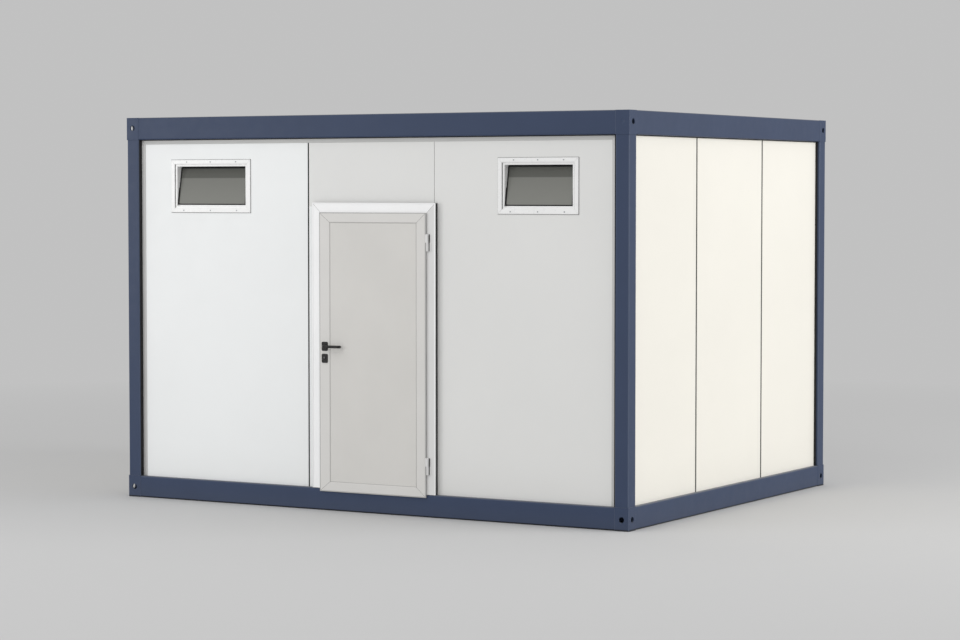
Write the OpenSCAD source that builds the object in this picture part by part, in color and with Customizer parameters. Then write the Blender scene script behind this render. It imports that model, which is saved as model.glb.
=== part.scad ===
// Flat-roofed toilet and shower container: a cold-formed steel frame with corner blocks,
// sandwich wall panels, two tilted vent windows and one outward-opening door.
// Millimetres, +Z up. The front with the door faces -Y and the origin is the centre of the
// steel frame's footprint at ground level.

/* [Steel frame] */
// Length over the corner blocks, along the front
frame_length = 4160; // [3600:10:6000]
// Width over the corner blocks, along the sides
frame_width = 3300; // [2400:10:4000]
// Height over the corner blocks
frame_height = 2800; // [2600:10:3000]
// Side of a corner block
block_size = 108; // [100:1:140]
// How far a corner block stands out from the beams and posts
block_proud = 3; // [1:0.5:5]
// Wall thickness of a corner block
block_wall = 10; // [6:1:14]
// Radius on the upright edges of a corner block
block_edge_r = 5; // [2:0.5:8]
// Diameter of the coupling holes in the corner blocks
block_hole_d = 40; // [24:1:50]
// Height of the coupling holes above the ground, and below the top
block_hole_rise = 76; // [60:1:90]
// Height of the bottom beams
bottom_beam_h = 158; // [140:1:200]
// Height of the top beams
top_beam_h = 162; // [150:1:220]
// Thickness of the cold-formed sheet in beams and posts
sheet_t = 4; // [3:0.5:6]
// Outer bend radius of the cold-formed sheet
bend_r = 10; // [6:0.5:14]
// Depth of the top flange on the top beams
top_flange_w = 60; // [40:1:80]
// Height of the lip turned down from that flange
top_lip_h = 20; // [10:1:30]

/* [Floor and roof] */
// Height of a floor joist
joist_h = 100; // [80:1:130]
// Width of a floor joist
joist_w = 50; // [40:1:70]
// Largest distance between floor joists
joist_pitch = 620; // [400:10:800]
// Clearance at the ends of the joists and round the floor deck
floor_clear = 2; // [1:0.5:4]
// Thickness of the ceiling panel
ceiling_t = 60; // [40:1:80]
// Distance from the frame's outside to the edge of the ceiling panel
ceiling_inset = 50; // [20:1:80]
// Height of the ribs on the roof sheet
roof_rib_h = 35; // [20:1:45]
// Distance between the ribs on the roof sheet
roof_rib_pitch = 207; // [150:1:300]
// Width of a rib at its top
roof_rib_top_w = 40; // [25:1:60]
// Width of a rib at its foot
roof_rib_foot_w = 90; // [70:1:120]
// Thickness of the roof sheet
roof_sheet_t = 1.5; // [1:0.25:3]
// Clearance between the roof and the steel round it
roof_clear = 5; // [3:0.5:10]

/* [Walls] */
// Thickness of a wall panel
panel_t = 60; // [40:1:70]
// How far the panels lie behind the face of the beams
panel_recess = 34; // [20:1:40]
// Width of the joint between two panels
joint_gap = 12; // [6:0.5:16]
// Width of the closed joint beside the panel over the door
head_joint_gap = 3; // [2:0.5:8]
// Depth of the seal behind the face of the panels
seal_recess = 3; // [1:0.5:10]
// Depth of the seal strip
seal_depth = 20; // [10:1:30]
// Width on the wall of the seal between a post and the panel beside it
post_seal_w = 5; // [3:0.5:10]
// How far that seal stands out from the panel
post_seal_out = 16; // [8:1:19]
// How far the door's middle lies to the right of the front's middle
door_shift = 68.5; // [-100:0.5:150]
// Width of the wall strip between the first front joint and the door frame
door_strip_w = 74; // [50:1:120]
// Panels in each side wall
side_panels = 3; // [2:1:4]
// Panels in the rear wall
rear_panels = 4; // [3:1:5]

/* [Windows] */
// Width over the left window frame
left_window_w = 703; // [500:1:800]
// Width over the right window frame
right_window_w = 623; // [500:1:800]
// Height over a window frame
window_h = 382; // [300:1:420]
// Height of the wall between the window frame and the top beam
window_drop = 149; // [60:1:300]
// Left window's middle, from the left end of the frame
left_window_x = 735.5; // [650:0.5:900]
// Right window's middle, from the right end of the frame
right_window_x = 710.5; // [600:0.5:800]
// Width of the screwed flange round a window
window_flange_w = 31; // [26:1:40]
// Thickness of that flange
window_flange_t = 7; // [4:0.5:10]
// Width of the inner frame inside the flange
window_inner_w = 18; // [14:1:30]
// How far the inner frame lies behind the flange's face
window_step = 9; // [4:0.5:12]
// Chamfer on the flange's edges
window_edge = 2; // [1:0.5:3]
// Width and depth of the inner frame's slope towards the light
window_slope = 3; // [2:0.5:6]
// Height of the ledge that the sash stands on
window_ledge_h = 5; // [4:0.5:14]
// How far that ledge lies behind the inner frame's face
window_ledge_back = 2; // [1:0.5:2.5]
// Width of the seam at the welded corners
weld_gap = 1; // [0.5:0.1:2]
// Depth of that seam in the inner frame's face
weld_depth = 1.5; // [1:0.5:3]
// Clearance between a window and the hole in the wall
window_clear = 2; // [1:0.5:4]
// How far the flange laps over the wall
window_lap = 24; // [15:1:26]
// Width of the dark sash bars
sash_bar_w = 6; // [5:0.5:16]
// Thickness of the sash
sash_t = 14; // [10:1:18]
// Clearance between sash and window frame
sash_clear = 3; // [2:0.5:6]
// Clearance where the sash stands on the window frame
sash_seat = 0.3; // [0.1:0.1:0.6]
// Distance from the wall's face back to the foot of the sash
sash_back = 6; // [5:0.5:10]
// Inward tilt of the sash, in degrees
sash_tilt = 9.5; // [0:0.5:10]
// Thickness of the pane
pane_t = 6; // [4:0.5:10]
// Length of the stay that holds the sash open
stay_l = 118; // [60:1:140]
// Width of the stay
stay_w = 12; // [6:0.5:16]
// Thickness of the stay
stay_t = 2.4; // [1:0.1:2.8]

/* [Door] */
// Width over the door frame
door_frame_w = 1019; // [980:1:1040]
// Height of the wall between the door frame and the top beam
door_head_h = 457; // [380:1:520]
// Width of a door frame member
jamb_w = 87; // [75:1:95]
// Thickness of the door frame's front flange
jamb_flange_t = 8; // [5:0.5:12]
// How far the door frame's flange laps over the wall
jamb_lap = 27; // [20:1:32]
// Chamfer on the edges of the door frame and the leaf
profile_edge = 2; // [1:0.5:3]
// Seam between two mitred members
mitre_gap = 0.8; // [0.2:0.1:1]
// Mounting clearance round the door frame
jamb_clear = 2; // [1:0.5:4]
// Width of the black gasket under the flange
gasket_w = 12; // [6:1:14]
// How far the gasket lies inside the flange's edge
gasket_inset = 2; // [1:0.5:4]
// Height of the threshold plate
threshold_h = 6; // [4:1:12]
// Height and half width of the ribs on the threshold
threshold_rib = 2; // [1:0.5:3]
// Distance between the ribs on the threshold
threshold_rib_pitch = 12; // [8:1:20]
// Slope at the threshold's front edge
threshold_nose = 4; // [2:0.5:5]
// How far the leaf laps over the door frame
leaf_lap = 18; // [12:1:25]
// Height of the leaf's bottom edge above the ground
leaf_bottom = 137; // [120:1:150]
// Thickness of the leaf's lip
leaf_lip_t = 10; // [9:1:20]
// Thickness of the leaf behind its lip
leaf_core_t = 38; // [30:1:45]
// Clearance between the leaf and what it closes against
leaf_clear = 5; // [5:0.5:8]
// Clearance between the leaf's core and the door frame
core_clear = 8; // [7:0.5:12]
// Width of the leaf's left stile, which holds the lock
lock_stile_w = 88; // [80:1:100]
// Width of the leaf's right stile, which holds the hinges
hinge_stile_w = 77; // [66:1:90]
// Height of the leaf's top and bottom rails
rail_h = 70; // [60:1:90]
// How far the leaf's infill lies behind its stiles
infill_recess = 3; // [2:0.5:8]
// Width of the slope from the stiles down to the infill
infill_bead = 4; // [2:0.5:12]
// Width of the grey seal round the leaf's edge
leaf_seal_w = 6; // [5:0.5:12]
// How far that seal lies behind the leaf's face
leaf_seal_recess = 2; // [1:0.5:4]
// Distance from the back of the leaf's lip forward to the hinge pins' middle
hinge_stand = 7; // [6:0.5:8]
// Height of a hinge
hinge_h = 120; // [90:1:150]
// Radius of a hinge barrel
hinge_r = 8; // [7:0.5:11]
// Radius of a hinge pin
hinge_pin_r = 4; // [3:0.25:5]
// Clearance round a hinge pin and between the two hinge halves
hinge_clear = 0.3; // [0.2:0.05:0.4]
// Clearance between a hinge barrel and the leaf's edge
hinge_gap = 4; // [3:0.5:6]
// Chamfer on the ends of a hinge barrel
hinge_cap = 2; // [1:0.5:3]
// Thickness of the hinge plates
hinge_plate_t = 3; // [2:0.5:3.5]
// Width of the hinge plate on the door frame
hinge_plate_w = 28; // [20:1:36]
// Distance from the leaf's bottom edge to the lower hinge's middle
lower_hinge_rise = 218; // [150:1:300]
// Distance from the leaf's top edge to the upper hinge's middle
upper_hinge_drop = 206; // [150:1:300]

/* [Handle] */
// Height of the lever's axis above the ground
lever_z = 1166; // [950:1:1250]
// Distance from the leaf's edge to the lever's axis
lever_backset = 47; // [45:0.5:52]
// Length of the lever from its axis to its tip
lever_l = 145; // [110:1:160]
// Radius of the lever's round bar
lever_r = 10; // [8:0.25:11]
// Radius of the lever's bends, at the middle of the bar
lever_bend_r = 14; // [12:0.5:18]
// Distance from the leaf's face to the outside of the lever
lever_out = 42; // [38:1:44]
// Distance from the leaf's face to the lever's turned-back tip
lever_tip_gap = 6; // [5:0.5:7.5]
// Clearance round the lever in the leaf and its rose
lever_clear = 0.3; // [0.2:0.05:0.5]
// Side of the square spindle
spindle_w = 8; // [7:0.5:9]
// Width of a rose
rose_w = 50; // [42:1:56]
// Height of a rose
rose_h = 64; // [50:1:70]
// Thickness of a rose
rose_t = 6; // [4:0.5:10]
// Corner radius of a rose
rose_r = 10; // [4:0.5:12]
// Step round the edge of a rose
rose_step = 1.5; // [0.5:0.25:3]
// Distance from the lever's axis down to the lock's middle
lock_drop = 85; // [76:1:95]
// Radius of the lock's cylinder
lock_r = 8.5; // [7:0.5:9]
// Width of the lock's lower part
lock_foot_w = 10; // [8:0.5:11]
// Distance from the cylinder's middle to the end of that part
lock_foot_l = 20; // [16:0.5:23]
// Width of the keyway
keyway_w = 2.4; // [1.5:0.1:3]
// Height of the keyway
keyway_h = 10; // [7:0.5:11]
// How far the lock's cylinder stands out of its rose
lock_out = 3; // [1:0.5:5]

/* [Hidden] */
$fn = 48;

navy = [0.24, 0.29, 0.39];
panel_white = [0.90, 0.90, 0.89];
panel_cream = [0.95, 0.94, 0.89];
frame_white = [0.93, 0.93, 0.93];
leaf_grey = [0.79, 0.79, 0.77];
near_black = [0.12, 0.12, 0.13];
zinc = [0.66, 0.68, 0.69];
seal_grey = [0.62, 0.62, 0.60];

// Reach of a cut past the face it goes through
cut = 1;
half_l = frame_length / 2;
half_w = frame_width / 2;
// Heights of the wall between the beams
wall_low = bottom_beam_h;
wall_high = frame_height - top_beam_h;
wall_h = wall_high - wall_low;
// Depths behind the outside of the corner blocks
beam_face = block_proud;
beam_w = block_size - block_proud;
panel_face = beam_face + panel_recess;
panel_back = panel_face + panel_t;
// Levels of floor and roof
deck_low = sheet_t + joist_h;
ceiling_low = wall_high + sheet_t;
roof_low = ceiling_low + ceiling_t;
// Windows
window_mid_z = wall_high - window_drop - window_h / 2;
window_hole_h = window_h - 2 * window_lap;
window_face_w = window_flange_w + window_inner_w;
window_body_in = window_lap + window_clear;
light_h = window_h - 2 * window_face_w - window_ledge_h;
light_low = window_face_w + window_ledge_h - window_h / 2;
inner_face = panel_face - window_flange_t + window_step;
sash_h = light_h - 2 * sash_clear;
window_ws = [left_window_w, right_window_w];
window_xs = [left_window_x, frame_length - right_window_x];
function sash_width(i) = window_ws[i] - 2 * (window_face_w + sash_clear);
// Door frame, from the door's middle
frame_half = door_frame_w / 2;
door_frame_top = wall_high - door_head_h;
open_half = frame_half - jamb_w;
open_top = door_frame_top - jamb_w;
rough_half = frame_half - jamb_lap;
rough_top = door_frame_top - jamb_lap;
// Shift of a mitred end that opens half the seam
mitre_shift = mitre_gap / sqrt(2);
weld_shift = weld_gap / sqrt(2);
gasket_t = panel_recess - jamb_flange_t;
// The door's middle and the front joints beside it, from the left end
door_x = half_l + door_shift;
joint_1 = door_x - rough_half - door_strip_w - joint_gap / 2;
joint_2 = door_x + rough_half;
// Leaf, from the door's middle
leaf_half = open_half + leaf_lap;
leaf_top = open_top + leaf_lap;
leaf_back = beam_face - leaf_clear;
leaf_face = leaf_back - leaf_lip_t;
core_back = leaf_back + leaf_core_t;
core_inset = leaf_lap + core_clear;
core_low = wall_low + threshold_h + core_clear;
// Hinge axis, from the door's middle and behind the outside of the blocks
hinge_x = leaf_half + hinge_gap + hinge_r;
hinge_y = leaf_back - hinge_stand;
knuckle_h = (hinge_h - hinge_clear) / 2;
hinge_zs = [leaf_bottom + lower_hinge_rise, leaf_top - upper_hinge_drop];
// Lever axis, from the door's middle
lever_x = lever_backset - leaf_half;
lever_hole_r = lever_r + lever_clear;

// Moves from the left end, the front and the ground to the origin
module from_front_left() {
  translate([-half_l, -half_w, 0]) children();
}

// Moves from the door's middle, the front and the ground to the origin
module from_door() {
  translate([door_x - half_l, -half_w, 0]) children();
}

// Repeats a piece drawn at the front left corner at all four corners
module at_four_corners() {
  for (sx = [0, 1], sy = [0, 1])
    mirror([sx, 0, 0]) mirror([0, sy, 0]) from_front_left() children();
}

// Stands a profile drawn as depth and height up along +X
module along_x(length) {
  rotate([90, 0, 90]) linear_extrude(length) children();
}

// Extrudes an outline drawn as x and z backwards, from one depth to another
module front_to_back(front, back) {
  translate([0, back, 0]) rotate([90, 0, 0]) linear_extrude(back - front) children();
}

// What a bend takes off a square corner at the origin
module bend_corner(radius) {
  difference() {
    translate([-cut, -cut]) square(radius + cut);
    translate([radius, radius]) circle(radius);
  }
}

module rounded_rect(width, height, radius) {
  translate([radius, 0]) square([width - 2 * radius, height]);
  translate([0, radius]) square([width, height - 2 * radius]);
  for (x = [radius, width - radius], y = [radius, height - radius])
    translate([x, y]) circle(radius);
}

// Steel frame

module corner_block(height, hole_z) {
  inner = block_size - 2 * block_wall;
  from_front_left() difference() {
    linear_extrude(height) rounded_rect(block_size, block_size, block_edge_r);
    translate([block_wall, block_wall, block_wall]) cube([inner, inner, height - 2 * block_wall]);
    translate([block_size / 2, -cut, hole_z]) rotate([-90, 0, 0])
      cylinder(d = block_hole_d, h = block_wall + 2 * cut);
    translate([-cut, block_size / 2, hole_z]) rotate([0, 90, 0])
      cylinder(d = block_hole_d, h = block_wall + 2 * cut);
  }
}

module bottom_corner_blocks() {
  color(navy) for (sx = [0, 1], sy = [0, 1])
    mirror([sx, 0, 0]) mirror([0, sy, 0]) corner_block(bottom_beam_h, block_hole_rise);
}

module top_corner_blocks() {
  color(navy) for (sx = [0, 1], sy = [0, 1])
    mirror([sx, 0, 0]) mirror([0, sy, 0]) translate([0, 0, wall_high])
      corner_block(top_beam_h, top_beam_h - block_hole_rise);
}

module corner_posts() {
  inner = beam_w - 2 * sheet_t;
  color(navy) at_four_corners() translate([beam_face, beam_face, wall_low])
    linear_extrude(wall_h) difference() {
      rounded_rect(beam_w, beam_w, bend_r);
      translate([sheet_t, sheet_t]) square(inner);
    }
}

// A bottom beam's section: a channel open to the inside
module bottom_beam_profile() {
  difference() {
    square([beam_w, bottom_beam_h]);
    translate([sheet_t, sheet_t]) square([beam_w, bottom_beam_h - 2 * sheet_t]);
    bend_corner(bend_r);
    translate([0, bottom_beam_h]) mirror([0, 1]) bend_corner(bend_r);
  }
}

// A top beam's section: a deep lower flange carries the ceiling, and the short upper one has a lip
module top_beam_profile() {
  difference() {
    union() {
      square([beam_w, sheet_t]);
      square([sheet_t, top_beam_h]);
      translate([0, top_beam_h - sheet_t]) square([top_flange_w, sheet_t]);
      translate([top_flange_w - sheet_t, top_beam_h - top_lip_h]) square([sheet_t, top_lip_h]);
    }
    bend_corner(bend_r);
    translate([0, top_beam_h]) mirror([0, 1]) bend_corner(bend_r);
    translate([top_flange_w, top_beam_h]) rotate(180) bend_corner(bend_r);
  }
}

// A beam between two corner blocks, with its outer face along the front
module beam_along_front(span) {
  translate([block_size - span / 2, beam_face, 0]) along_x(span - 2 * block_size) children();
}

module front_beam() {
  translate([0, -half_w, 0]) beam_along_front(frame_length) children();
}

module side_beam() {
  rotate(-90) translate([0, -half_l, 0]) beam_along_front(frame_width) children();
}

module front_bottom_beam() {
  color(navy) front_beam() bottom_beam_profile();
}

module rear_bottom_beam() {
  color(navy) mirror([0, 1, 0]) front_beam() bottom_beam_profile();
}

module left_bottom_beam() {
  color(navy) side_beam() bottom_beam_profile();
}

module right_bottom_beam() {
  color(navy) mirror([1, 0, 0]) side_beam() bottom_beam_profile();
}

module front_top_beam() {
  color(navy) translate([0, 0, wall_high]) front_beam() top_beam_profile();
}

module rear_top_beam() {
  color(navy) translate([0, 0, wall_high]) mirror([0, 1, 0]) front_beam() top_beam_profile();
}

module left_top_beam() {
  color(navy) translate([0, 0, wall_high]) side_beam() top_beam_profile();
}

module right_top_beam() {
  color(navy) translate([0, 0, wall_high]) mirror([1, 0, 0]) side_beam() top_beam_profile();
}

// Floor and roof

module floor_joists() {
  first = block_size + floor_clear;
  last = frame_length - first - joist_w;
  bays = ceil((last - first) / joist_pitch);
  run = frame_width - 2 * (beam_face + sheet_t + floor_clear);
  color(zinc) from_front_left() for (i = [0:bays])
    translate([first + i * (last - first) / bays, (frame_width + run) / 2, sheet_t])
      rotate([90, 0, 0]) linear_extrude(run) difference() {
        square([joist_w, joist_h]);
        translate([sheet_t, sheet_t]) square([joist_w, joist_h - 2 * sheet_t]);
      }
}

module floor_deck() {
  inset = block_size + floor_clear;
  color(leaf_grey) from_front_left() translate([inset, inset, deck_low])
    cube([frame_length - 2 * inset, frame_width - 2 * inset, wall_low - deck_low]);
}

// Takes the room for the corner blocks out of a roof piece
module clear_of_blocks(low, high) {
  notch = block_size + roof_clear;
  difference() {
    children();
    at_four_corners() translate([-cut, -cut, low - cut])
      cube([notch + cut, notch + cut, high - low + 2 * cut]);
  }
}

module ceiling_panel() {
  color(panel_white) clear_of_blocks(ceiling_low, roof_low)
    from_front_left() translate([ceiling_inset, ceiling_inset, ceiling_low])
      cube([frame_length - 2 * ceiling_inset, frame_width - 2 * ceiling_inset, ceiling_t]);
}

// One line of a ribbed sheet seen from its end, raised by lift
function rib_points(count, first, lift) = [
  for (i = [0:count - 1])
    let (middle = first + i * roof_rib_pitch)
      each [
        [middle - roof_rib_foot_w / 2, lift],
        [middle - roof_rib_top_w / 2, roof_rib_h + lift],
        [middle + roof_rib_top_w / 2, roof_rib_h + lift],
        [middle + roof_rib_foot_w / 2, lift]
      ]
];

function reversed(points) = [for (i = [len(points) - 1:-1:0]) points[i]];

module roof_sheet() {
  edge = beam_face + sheet_t + roof_clear;
  run = frame_width - 2 * edge;
  width = frame_length - 2 * edge;
  count = floor((width - roof_rib_foot_w) / roof_rib_pitch);
  first = (width - (count - 1) * roof_rib_pitch) / 2;
  low_line = concat([[0, 0]], rib_points(count, first, 0), [[width, 0]]);
  high_line = concat([[0, roof_sheet_t]], rib_points(count, first, roof_sheet_t), [[width, roof_sheet_t]]);
  color(zinc) clear_of_blocks(roof_low, frame_height)
    translate([edge - half_l, half_w - edge, roof_low]) rotate([90, 0, 0])
      linear_extrude(run) polygon(concat(low_line, reversed(high_line)));
}

// Walls

// A stretch of wall along the front, from one x to another and from one height to another
module front_slab(x0, x1, z0, z1) {
  from_front_left() translate([x0, panel_face, z0]) cube([x1 - x0, panel_t, z1 - z0]);
}

module window_hole(i) {
  hole_w = window_ws[i] - 2 * window_lap;
  at_window(i) translate([-hole_w / 2, panel_face - cut, -window_hole_h / 2])
    cube([hole_w, panel_t + 2 * cut, window_hole_h]);
}

module front_left_wall() {
  color(panel_white) difference() {
    front_slab(block_size, joint_1 - joint_gap / 2, wall_low, wall_high);
    window_hole(0);
  }
}

module front_right_wall() {
  color(panel_white) difference() {
    front_slab(joint_2 + head_joint_gap / 2, frame_length - block_size, wall_low, wall_high);
    window_hole(1);
  }
}

module door_head_wall() {
  color(panel_white)
    front_slab(joint_1 + joint_gap / 2, joint_2 - head_joint_gap / 2, rough_top, wall_high);
}

// The narrow strip between the first joint and the door frame
module door_side_wall() {
  color(panel_white) front_slab(joint_1 + joint_gap / 2, door_x - rough_half, wall_low, rough_top);
}

// Where the joints lie between count equal panels, from one end of a wall
function wall_joints(span, count) = [for (i = [1:count - 1]) i * span / count];

// A wall of equal panels between two posts, with its face along the front
module panel_wall(span, count) {
  joints = wall_joints(span, count);
  starts = concat([block_size], [for (j = joints) j + joint_gap / 2]);
  ends = concat([for (j = joints) j - joint_gap / 2], [span - block_size]);
  for (i = [0:count - 1])
    translate([starts[i] - span / 2, panel_face, wall_low]) cube([ends[i] - starts[i], panel_t, wall_h]);
}

module wall_seal(x, gap, z0, z1) {
  translate([x - gap / 2, panel_face + seal_recess, z0]) cube([gap, seal_depth, z1 - z0]);
}

// Seals in the corners between the panels and the posts at both ends of a wall
module post_seals(span) {
  for (side = [0, 1])
    mirror([side, 0, 0]) translate([block_size - span / 2, panel_face - post_seal_out, wall_low])
      cube([post_seal_w, post_seal_out, wall_h]);
}

module panel_wall_seals(span, count) {
  post_seals(span);
  for (j = wall_joints(span, count))
    translate([-span / 2, 0, 0]) wall_seal(j, joint_gap, wall_low, wall_high);
}

// Turns a wall drawn along the front to another side of the frame
module on_left_side() {
  rotate(-90) translate([0, -half_l, 0]) children();
}

module on_right_side() {
  rotate(90) translate([0, -half_l, 0]) children();
}

module on_rear_side() {
  rotate(180) translate([0, -half_w, 0]) children();
}

module right_wall_panels() {
  color(panel_cream) on_right_side() panel_wall(frame_width, side_panels);
}

module left_wall_panels() {
  color(panel_cream) on_left_side() panel_wall(frame_width, side_panels);
}

module rear_wall_panels() {
  color(panel_white) on_rear_side() panel_wall(frame_length, rear_panels);
}

module wall_joint_seals() {
  color(near_black) {
    translate([0, -half_w, 0]) post_seals(frame_length);
    from_front_left() wall_seal(joint_1, joint_gap, wall_low, wall_high);
    from_front_left() wall_seal(joint_2, head_joint_gap, rough_top, wall_high);
    on_right_side() panel_wall_seals(frame_width, side_panels);
    on_left_side() panel_wall_seals(frame_width, side_panels);
    on_rear_side() panel_wall_seals(frame_length, rear_panels);
  }
}

// Windows, each drawn round its own middle; 0 is the left one and 1 the right one

module at_window(i) {
  from_front_left() translate([window_xs[i], 0, window_mid_z]) children();
}

// A rectangular ring seen from the front, from one depth to another
module ring(outer_w, outer_h, bar, front, back) {
  front_to_back(front, back) difference() {
    square([outer_w, outer_h], center = true);
    square([outer_w - 2 * bar, outer_h - 2 * bar], center = true);
  }
}

// A window bar's section, drawn as depth and distance inwards from the frame's outer edge
module window_profile() {
  flange_face = panel_face - window_flange_t;
  polygon([
    [panel_face, 0],
    [flange_face + window_edge, 0],
    [flange_face, window_edge],
    [flange_face, window_flange_w - window_edge],
    [flange_face + window_edge, window_flange_w],
    [inner_face, window_flange_w],
    [inner_face, window_face_w - window_slope],
    [inner_face + window_slope, window_face_w],
    [panel_back, window_face_w],
    [panel_back, window_body_in],
    [panel_face, window_body_in]
  ]);
}

// Four mitred bars round a window, between two depths, with their ends cut back by shift
module window_bars(width, front, back, shift) {
  for (turn = [0:3]) {
    span = turn % 2 == 0 ? width : window_h;
    rise = turn % 2 == 0 ? window_h : width;
    rotate([0, 90 * turn, 0]) translate([0, 0, -rise / 2]) intersection() {
      translate([-span / 2, 0, 0]) along_x(span) window_profile();
      front_to_back(front, back) mitred_bottom(span / 2, window_face_w, 0, shift);
    }
  }
}

// A ledge across the foot of a window's light, let into the frame on three sides
module window_ledge(width) {
  let_in = 1;
  half = width / 2 - window_face_w + let_in;
  low = window_face_w - window_h / 2 - let_in;
  front_to_back(inner_face + window_slope + window_ledge_back, panel_back)
    translate([-half, low]) square([2 * half, light_low - low]);
}

module window_frames() {
  seam_floor = inner_face + weld_depth;
  front = panel_face - window_flange_t - cut;
  color(frame_white) for (i = [0, 1]) at_window(i) union() {
    window_bars(window_ws[i], front, seam_floor, weld_shift);
    window_bars(window_ws[i], seam_floor, panel_back + cut, 0);
    window_ledge(window_ws[i]);
  }
}

// Stands a sash piece on the ledge, tilts its head inwards and sets it in the window
module tilted_in_window(i) {
  dip = sash_t * sin(sash_tilt);
  at_window(i) translate([0, panel_face + sash_back, dip + sash_seat + light_low])
    rotate([-sash_tilt, 0, 0]) translate([0, 0, sash_h / 2]) children();
}

module window_sashes() {
  color(near_black) for (i = [0, 1])
    tilted_in_window(i) ring(sash_width(i), sash_h, sash_bar_w, 0, sash_t);
}

module window_panes() {
  color([0.48, 0.48, 0.46]) for (i = [0, 1]) tilted_in_window(i)
    front_to_back((sash_t - pane_t) / 2, (sash_t + pane_t) / 2)
      square([sash_width(i) - 2 * sash_bar_w, sash_h - 2 * sash_bar_w], center = true);
}

// A flat stay at the foot of each sash, at its front edge and between it and the window frame
module window_stays() {
  color(near_black) for (i = [0, 1]) tilted_in_window(i)
    translate([-sash_width(i) / 2 - stay_t, stay_w / 4, -sash_h / 2 + stay_w]) rotate([90, 0, 90])
      linear_extrude(stay_t) {
        translate([-stay_w / 2, 0]) square([stay_w, stay_l - stay_w]);
        circle(d = stay_w);
        translate([0, stay_l - stay_w]) circle(d = stay_w);
      }
}

// Door frame

// Front outlines of mitred members round a rectangle, with bar as their width and shift off their ends
module mitred_side(half, bar, low, high, shift) {
  polygon([
    [-half, low],
    [bar - half, low],
    [bar - half, high - bar - shift],
    [-half, high - shift]
  ]);
}

module mitred_top(half, bar, high, shift) {
  mirror([0, 1]) mitred_bottom(half, bar, -high, shift);
}

module mitred_bottom(half, bar, low, shift) {
  polygon([
    [shift - half, low],
    [bar + shift - half, low + bar],
    [half - bar - shift, low + bar],
    [half - shift, low]
  ]);
}

// A door frame member's section, drawn as distance inwards from the frame's outer edge and depth
module jamb_profile() {
  flange_back = beam_face + jamb_flange_t;
  body_in = jamb_lap + jamb_clear;
  polygon([
    [0, flange_back],
    [0, beam_face + profile_edge],
    [profile_edge, beam_face],
    [jamb_w - profile_edge, beam_face],
    [jamb_w, beam_face + profile_edge],
    [jamb_w, panel_back],
    [body_in, panel_back],
    [body_in, flange_back]
  ]);
}

module door_frame_head() {
  color(frame_white) from_door() intersection() {
    translate([-frame_half, 0, door_frame_top]) along_x(door_frame_w) rotate(-90) jamb_profile();
    front_to_back(beam_face - cut, panel_back + cut)
      mitred_top(frame_half, jamb_w, door_frame_top, mitre_shift);
  }
}

module door_frame_left_jamb() {
  color(frame_white) from_door() intersection() {
    translate([-frame_half, 0, wall_low]) linear_extrude(door_frame_top - wall_low) jamb_profile();
    front_to_back(beam_face - cut, panel_back + cut)
      mitred_side(frame_half, jamb_w, wall_low, door_frame_top, mitre_shift);
  }
}

module door_frame_right_jamb() {
  color(frame_white) translate([2 * (door_x - half_l), 0, 0]) mirror([1, 0, 0]) door_frame_left_jamb();
}

// Black strip that fills the step between the door frame's flange and the wall, on three sides
module door_frame_gasket() {
  outer_half = frame_half - gasket_inset;
  outer_top = door_frame_top - gasket_inset;
  inner_half = outer_half - gasket_w;
  inner_top = outer_top - gasket_w;
  color(near_black) from_door() front_to_back(panel_face - gasket_t, panel_face) difference() {
    translate([-outer_half, wall_low]) square([2 * outer_half, outer_top - wall_low]);
    translate([-inner_half, wall_low - cut]) square([2 * inner_half, inner_top - wall_low + cut]);
  }
}

// Threshold plate with a sloped nose and a row of ribs across the way in
module door_threshold() {
  depth = panel_back - beam_face;
  ribs = floor((depth - threshold_nose) / threshold_rib_pitch);
  plate_h = threshold_h - threshold_rib;
  color(zinc) from_door() translate([-open_half, beam_face, wall_low]) along_x(2 * open_half) {
    polygon([[0, 0], [threshold_nose, plate_h], [depth, plate_h], [depth, 0]]);
    for (i = [1:ribs])
      translate([threshold_nose + (i - 0.5) * threshold_rib_pitch, plate_h])
        polygon([[-threshold_rib, 0], [0, threshold_rib], [threshold_rib, 0]]);
  }
}

// A hinge barrel with chamfered ends
module hinge_barrel(height) {
  cylinder(r1 = hinge_r - hinge_cap, r2 = hinge_r, h = hinge_cap);
  translate([0, 0, hinge_cap]) cylinder(r = hinge_r, h = height - hinge_cap);
}

// Lower hinge halves with their pins, on plates that lie on the door frame
module hinge_frame_halves() {
  color(frame_white) from_door() for (z = hinge_zs) translate([hinge_x, 0, z - hinge_h / 2]) {
    translate([0, hinge_y, 0]) hinge_barrel(knuckle_h);
    translate([0, hinge_y, 0]) cylinder(r = hinge_pin_r, h = hinge_h - hinge_plate_t - hinge_clear);
    translate([0, hinge_y, hinge_cap]) cube([hinge_r, beam_face - hinge_y, knuckle_h - hinge_cap]);
    translate([0, beam_face - hinge_plate_t, hinge_cap])
      cube([hinge_plate_w, hinge_plate_t, knuckle_h - hinge_cap]);
  }
}

// Leaf

// A stile's or rail's section, drawn as distance inwards from the leaf's edge and depth
module leaf_profile(width, core_in) {
  polygon([
    [leaf_seal_w, leaf_back],
    [leaf_seal_w, leaf_face + profile_edge],
    [leaf_seal_w + profile_edge, leaf_face],
    [width - infill_bead, leaf_face],
    [width, leaf_face + infill_recess],
    [width, core_back - infill_recess],
    [width - infill_bead, core_back],
    [core_in + profile_edge, core_back],
    [core_in, core_back - profile_edge],
    [core_in, leaf_back]
  ]);
}

// Keeps a leaf member inside its mitred front outline
module mitred_leaf_member() {
  color(leaf_grey) from_door() intersection() {
    children(0);
    front_to_back(leaf_face - cut, core_back + cut) children(1);
  }
}

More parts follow.
